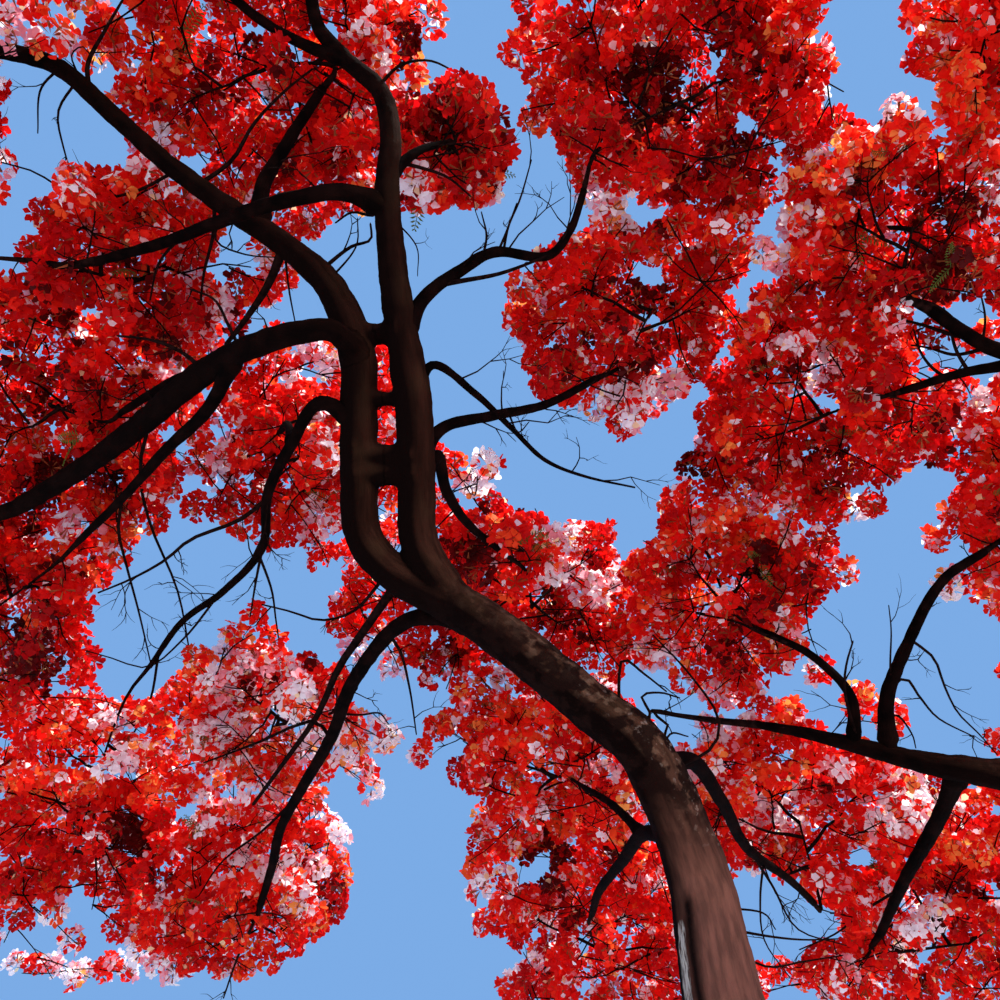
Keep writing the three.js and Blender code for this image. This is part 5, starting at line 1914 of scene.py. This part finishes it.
# Scale, detail and range of each mottle, and how much of it is laid on.
barkMottles = {
    "streaks": (34.0, 7.0, 0.34, 0.64),
    "moss": (3.4, 5.0, 0.50, 0.64),
    "ragged": (6.0, 4.0, 0.25, 0.60),
    "patches": (22.0, 5.0, 0.50, 0.62),
    "burl": (12.0, 7.0, 0.455, 0.54),
    "lichen_and_highlight": (30.0, 4.0, 0.615, 0.66),
    "scar": (90.0, 6.0, 0.38, 0.56),
    "limb": (9.0, 6.0, 0.40, 0.72),
}
barkShares = {"moss": 0.4, "lowest": 0.55, "patches": 0.75, "burl": 0.92, "lichen_and_highlight": 0.5}
barkTurns = {"bright": (0.18, 0.95), "foot": (-0.55, 0.15), "thick": (0.26, 0.62), "scar": (0.25, 0.6)}
grainValues = {"Scale": 60.0, "Detail": 9.0, "Roughness": 0.68}
grainRelief = {"Strength": 1.0, "Distance": 0.016}
# The roughness and gloss of bark, and the two colours, scale and detail of the twigs' mottle, near-black as
# painted shade.
barkShine = (0.9, 0.02)
twigMottle = ((0.002, 0.0007, 0.0007), (0.012, 0.004, 0.0035), 30.0, 4.0)


def barkMaterial(name, finish):
    material, tree, output = newMaterial(name)
    own = {
        key: addNode(tree, "ShaderNodeAttribute", attribute_name=key)
        for key in ("girth", "bright", "grain", "scar", "run")
    }
    amount = {key: node.outputs["Fac"] for key, node in own.items()}
    grainPlace = own["grain"].outputs["Vector"]
    paint = {key: (*colour, 1) for key, colour in finish.items()}
    shares = barkShares
    coords = addNode(tree, "ShaderNodeTexCoord")
    height = addNode(tree, "ShaderNodeSeparateXYZ", {0: coords.outputs["Object"]}).outputs["Z"]

    def mix(share, first, second):
        return addNode(tree, "ShaderNodeMix", {0: share, 6: first, 7: second}, data_type="RGBA").outputs[2]

    def ranged(value, start, end):
        links = {"Value": value, "From Min": start, "From Max": end}
        return addNode(tree, "ShaderNodeMapRange", links).outputs["Result"]

    def product(first, *others):
        for other in others:
            first = addNode(tree, "ShaderNodeMath", {0: first, 1: other}, operation="MULTIPLY").outputs[0]
        return first

    def larger(first, second):
        return addNode(tree, "ShaderNodeMath", {0: first, 1: second}, operation="MAXIMUM").outputs[0]

    def turnedTo(key, layer):
        return ranged(amount[layer], *barkTurns[key])

    def cloud(key, place=None):
        return maskOf(tree, *barkMottles[key], place)

    band = {key: ranged(height, *span) for key, span in barkBands.items()}
    # The lit colour darkens higher up, painted shade under the crown, and lightens at the foot, partly
    # painted light.
    high = mix(band["foot"], mix(band["upper"], paint["high"], paint["upperHigh"]), paint["footHigh"])
    low = mix(band["foot"], paint["low"], paint["footLow"])
    skin = mix(cloud("streaks", grainPlace), low, high)
    mossy = mix(product(cloud("moss"), band["moss"], shares["moss"]), skin, paint["olive"])
    # The side toward the light is painted lit and the rest painted shade; near the foot more of it is
    # painted lit.
    bright = turnedTo("bright", "bright")
    paintedLitShare = product(bright, cloud("ragged", grainPlace))
    wide = product(turnedTo("foot", "bright"), band["wide"])
    lit = larger(larger(paintedLitShare, product(band["lowest"], shares["lowest"])), wide)
    trunk = mix(lit, paint["shade"], mossy)
    bend = product(band["bendFoot"], band["bendTop"])
    # Tan patches only where the bark is painted lit: a painted highlight.
    trunk = mix(product(cloud("patches"), bend, paintedLitShare, shares["patches"]), trunk, paint["patch"])
    trunk = mix(product(cloud("burl"), bend, shares["burl"]), trunk, paint["burl"])
    lichenBand = product(band["lichenFoot"], band["lichenTop"])
    # Lichen only on the side toward the light: partly lichen, partly a painted highlight.
    lichenShare = product(cloud("lichen_and_highlight"), bright, lichenBand, shares["lichen_and_highlight"])
    trunk = mix(lichenShare, trunk, paint["lichen_and_highlight"])
    # Thin limbs take a near-black mottle: painted shade.
    limb = placeMottle(tree, finish["limbLow"], finish["limbHigh"], *barkMottles["limb"])
    base = mix(turnedTo("thick", "girth"), limb.outputs["Color"], trunk)
    # Painted shade of the gap beside the scar.
    base = mix(amount["run"], base, paint["run"])
    done = mix(product(turnedTo("scar", "scar"), cloud("scar", grainPlace)), base, paint["scar"])
    grain = addNode(tree, "ShaderNodeTexNoise", {"Vector": grainPlace, **grainValues})
    bump = addNode(tree, "ShaderNodeBump", {"Height": grain.outputs["Fac"], **grainRelief})
    face = matteFace(tree, done, *barkShine)
    tree.links.new(bump.outputs["Normal"], face.inputs["Normal"])
    tree.links.new(face.outputs[0], output.inputs["Surface"])
    return material


def dress(piece, material):
    piece.data.materials.clear()
    piece.data.materials.append(material)


bark = barkMaterial("barkSkin", barkFinish)
for piece in (trunkBark, leaderBark, boughBark):
    dress(piece, bark)


# Twigs: a near-black mottle, painted shade like that of the thin limbs.
def twigMaterial():
    material, tree, output = newMaterial("twigSkin")
    skin = placeMottle(tree, *twigMottle)
    face = matteFace(tree, skin.outputs["Color"], *barkShine)
    tree.links.new(face.outputs[0], output.inputs["Surface"])
    return material


twigSkin = twigMaterial()
for piece in twigPieces:
    dress(piece, twigSkin)
# Face, light through, how much comes through, and roughness.
thinFinishes = {
    "white": ((0.94, 0.82, 0.90), (1.0, 0.94, 1.0), 0.7, 0.55),
    "cream": ((0.98, 0.70, 0.42), (1.0, 0.84, 0.52), 0.7, 0.55),
    "calyx": ((0.30, 0.060, 0.020), (0.40, 0.10, 0.03), 0.2, 0.6),
    "leaf": ((0.085, 0.115, 0.022), (0.22, 0.30, 0.05), 0.35, 0.5),
}
for tint, colours in tintValues.items():
    dress(petalPieces[tint], thinMaterial("petal_" + tint, *colours, *thinValues["petal"]))
for name, standard in standards.items():
    dress(standard, thinMaterial("petal_" + name, *thinFinishes[name]))
calyxSkin = thinMaterial("calyx", *thinFinishes["calyx"])
for piece in calyces:
    dress(piece, calyxSkin)
dress(leaves, thinMaterial("leaf", *thinFinishes["leaf"]))
print("materials done")

# Stage: a plain pale floor, soft light from all round and a warm sun.
stageValues = {
    "floorSize": 120,
    "floorDrop": 0.004,
    "floorColour": (0.70, 0.70, 0.68),
    "floorShine": (0.9, 0.5),
    "around": (0.20, 0.41, 0.79),
    "aroundStrength": 1.0,
    "sunStrength": 8.0,
    "sunColour": (1.0, 0.95, 0.86),
    "sunAngle": 4,
    "sunFrom": (0.62, -0.55, 1.0),
}


def makeStage(values):
    bm = bmesh.new()
    bmesh.ops.create_grid(bm, x_segments=1, y_segments=1, size=values["floorSize"] / 2)
    bmesh.ops.translate(bm, verts=bm.verts, vec=(0, 0, -values["floorDrop"]))
    floor = objectFrom("floor", bm)
    material, tree, output = newMaterial("floorPaint")
    skin = placeMottle(tree, values["floorColour"], values["floorColour"], 1.0)
    face = matteFace(tree, skin.outputs["Color"], *values["floorShine"])
    tree.links.new(face.outputs[0], output.inputs["Surface"])
    dress(floor, material)
    world = bpy.data.worlds.new("softLight")
    world.use_nodes = True
    around = world.node_tree.nodes["Background"].inputs
    around["Color"].default_value = (*values["around"], 1)
    around["Strength"].default_value = values["aroundStrength"]
    scene.world = world
    light = bpy.data.lights.new("sun", "SUN")
    light.energy = values["sunStrength"]
    light.color = values["sunColour"]
    light.angle = math.radians(values["sunAngle"])
    sun = bpy.data.objects.new("sun", light)
    sun.rotation_euler = Vector(values["sunFrom"]).to_track_quat("Z", "Y").to_euler()
    scene.collection.objects.link(sun)
    scene.view_settings.view_transform = "Standard"


makeStage(stageValues)
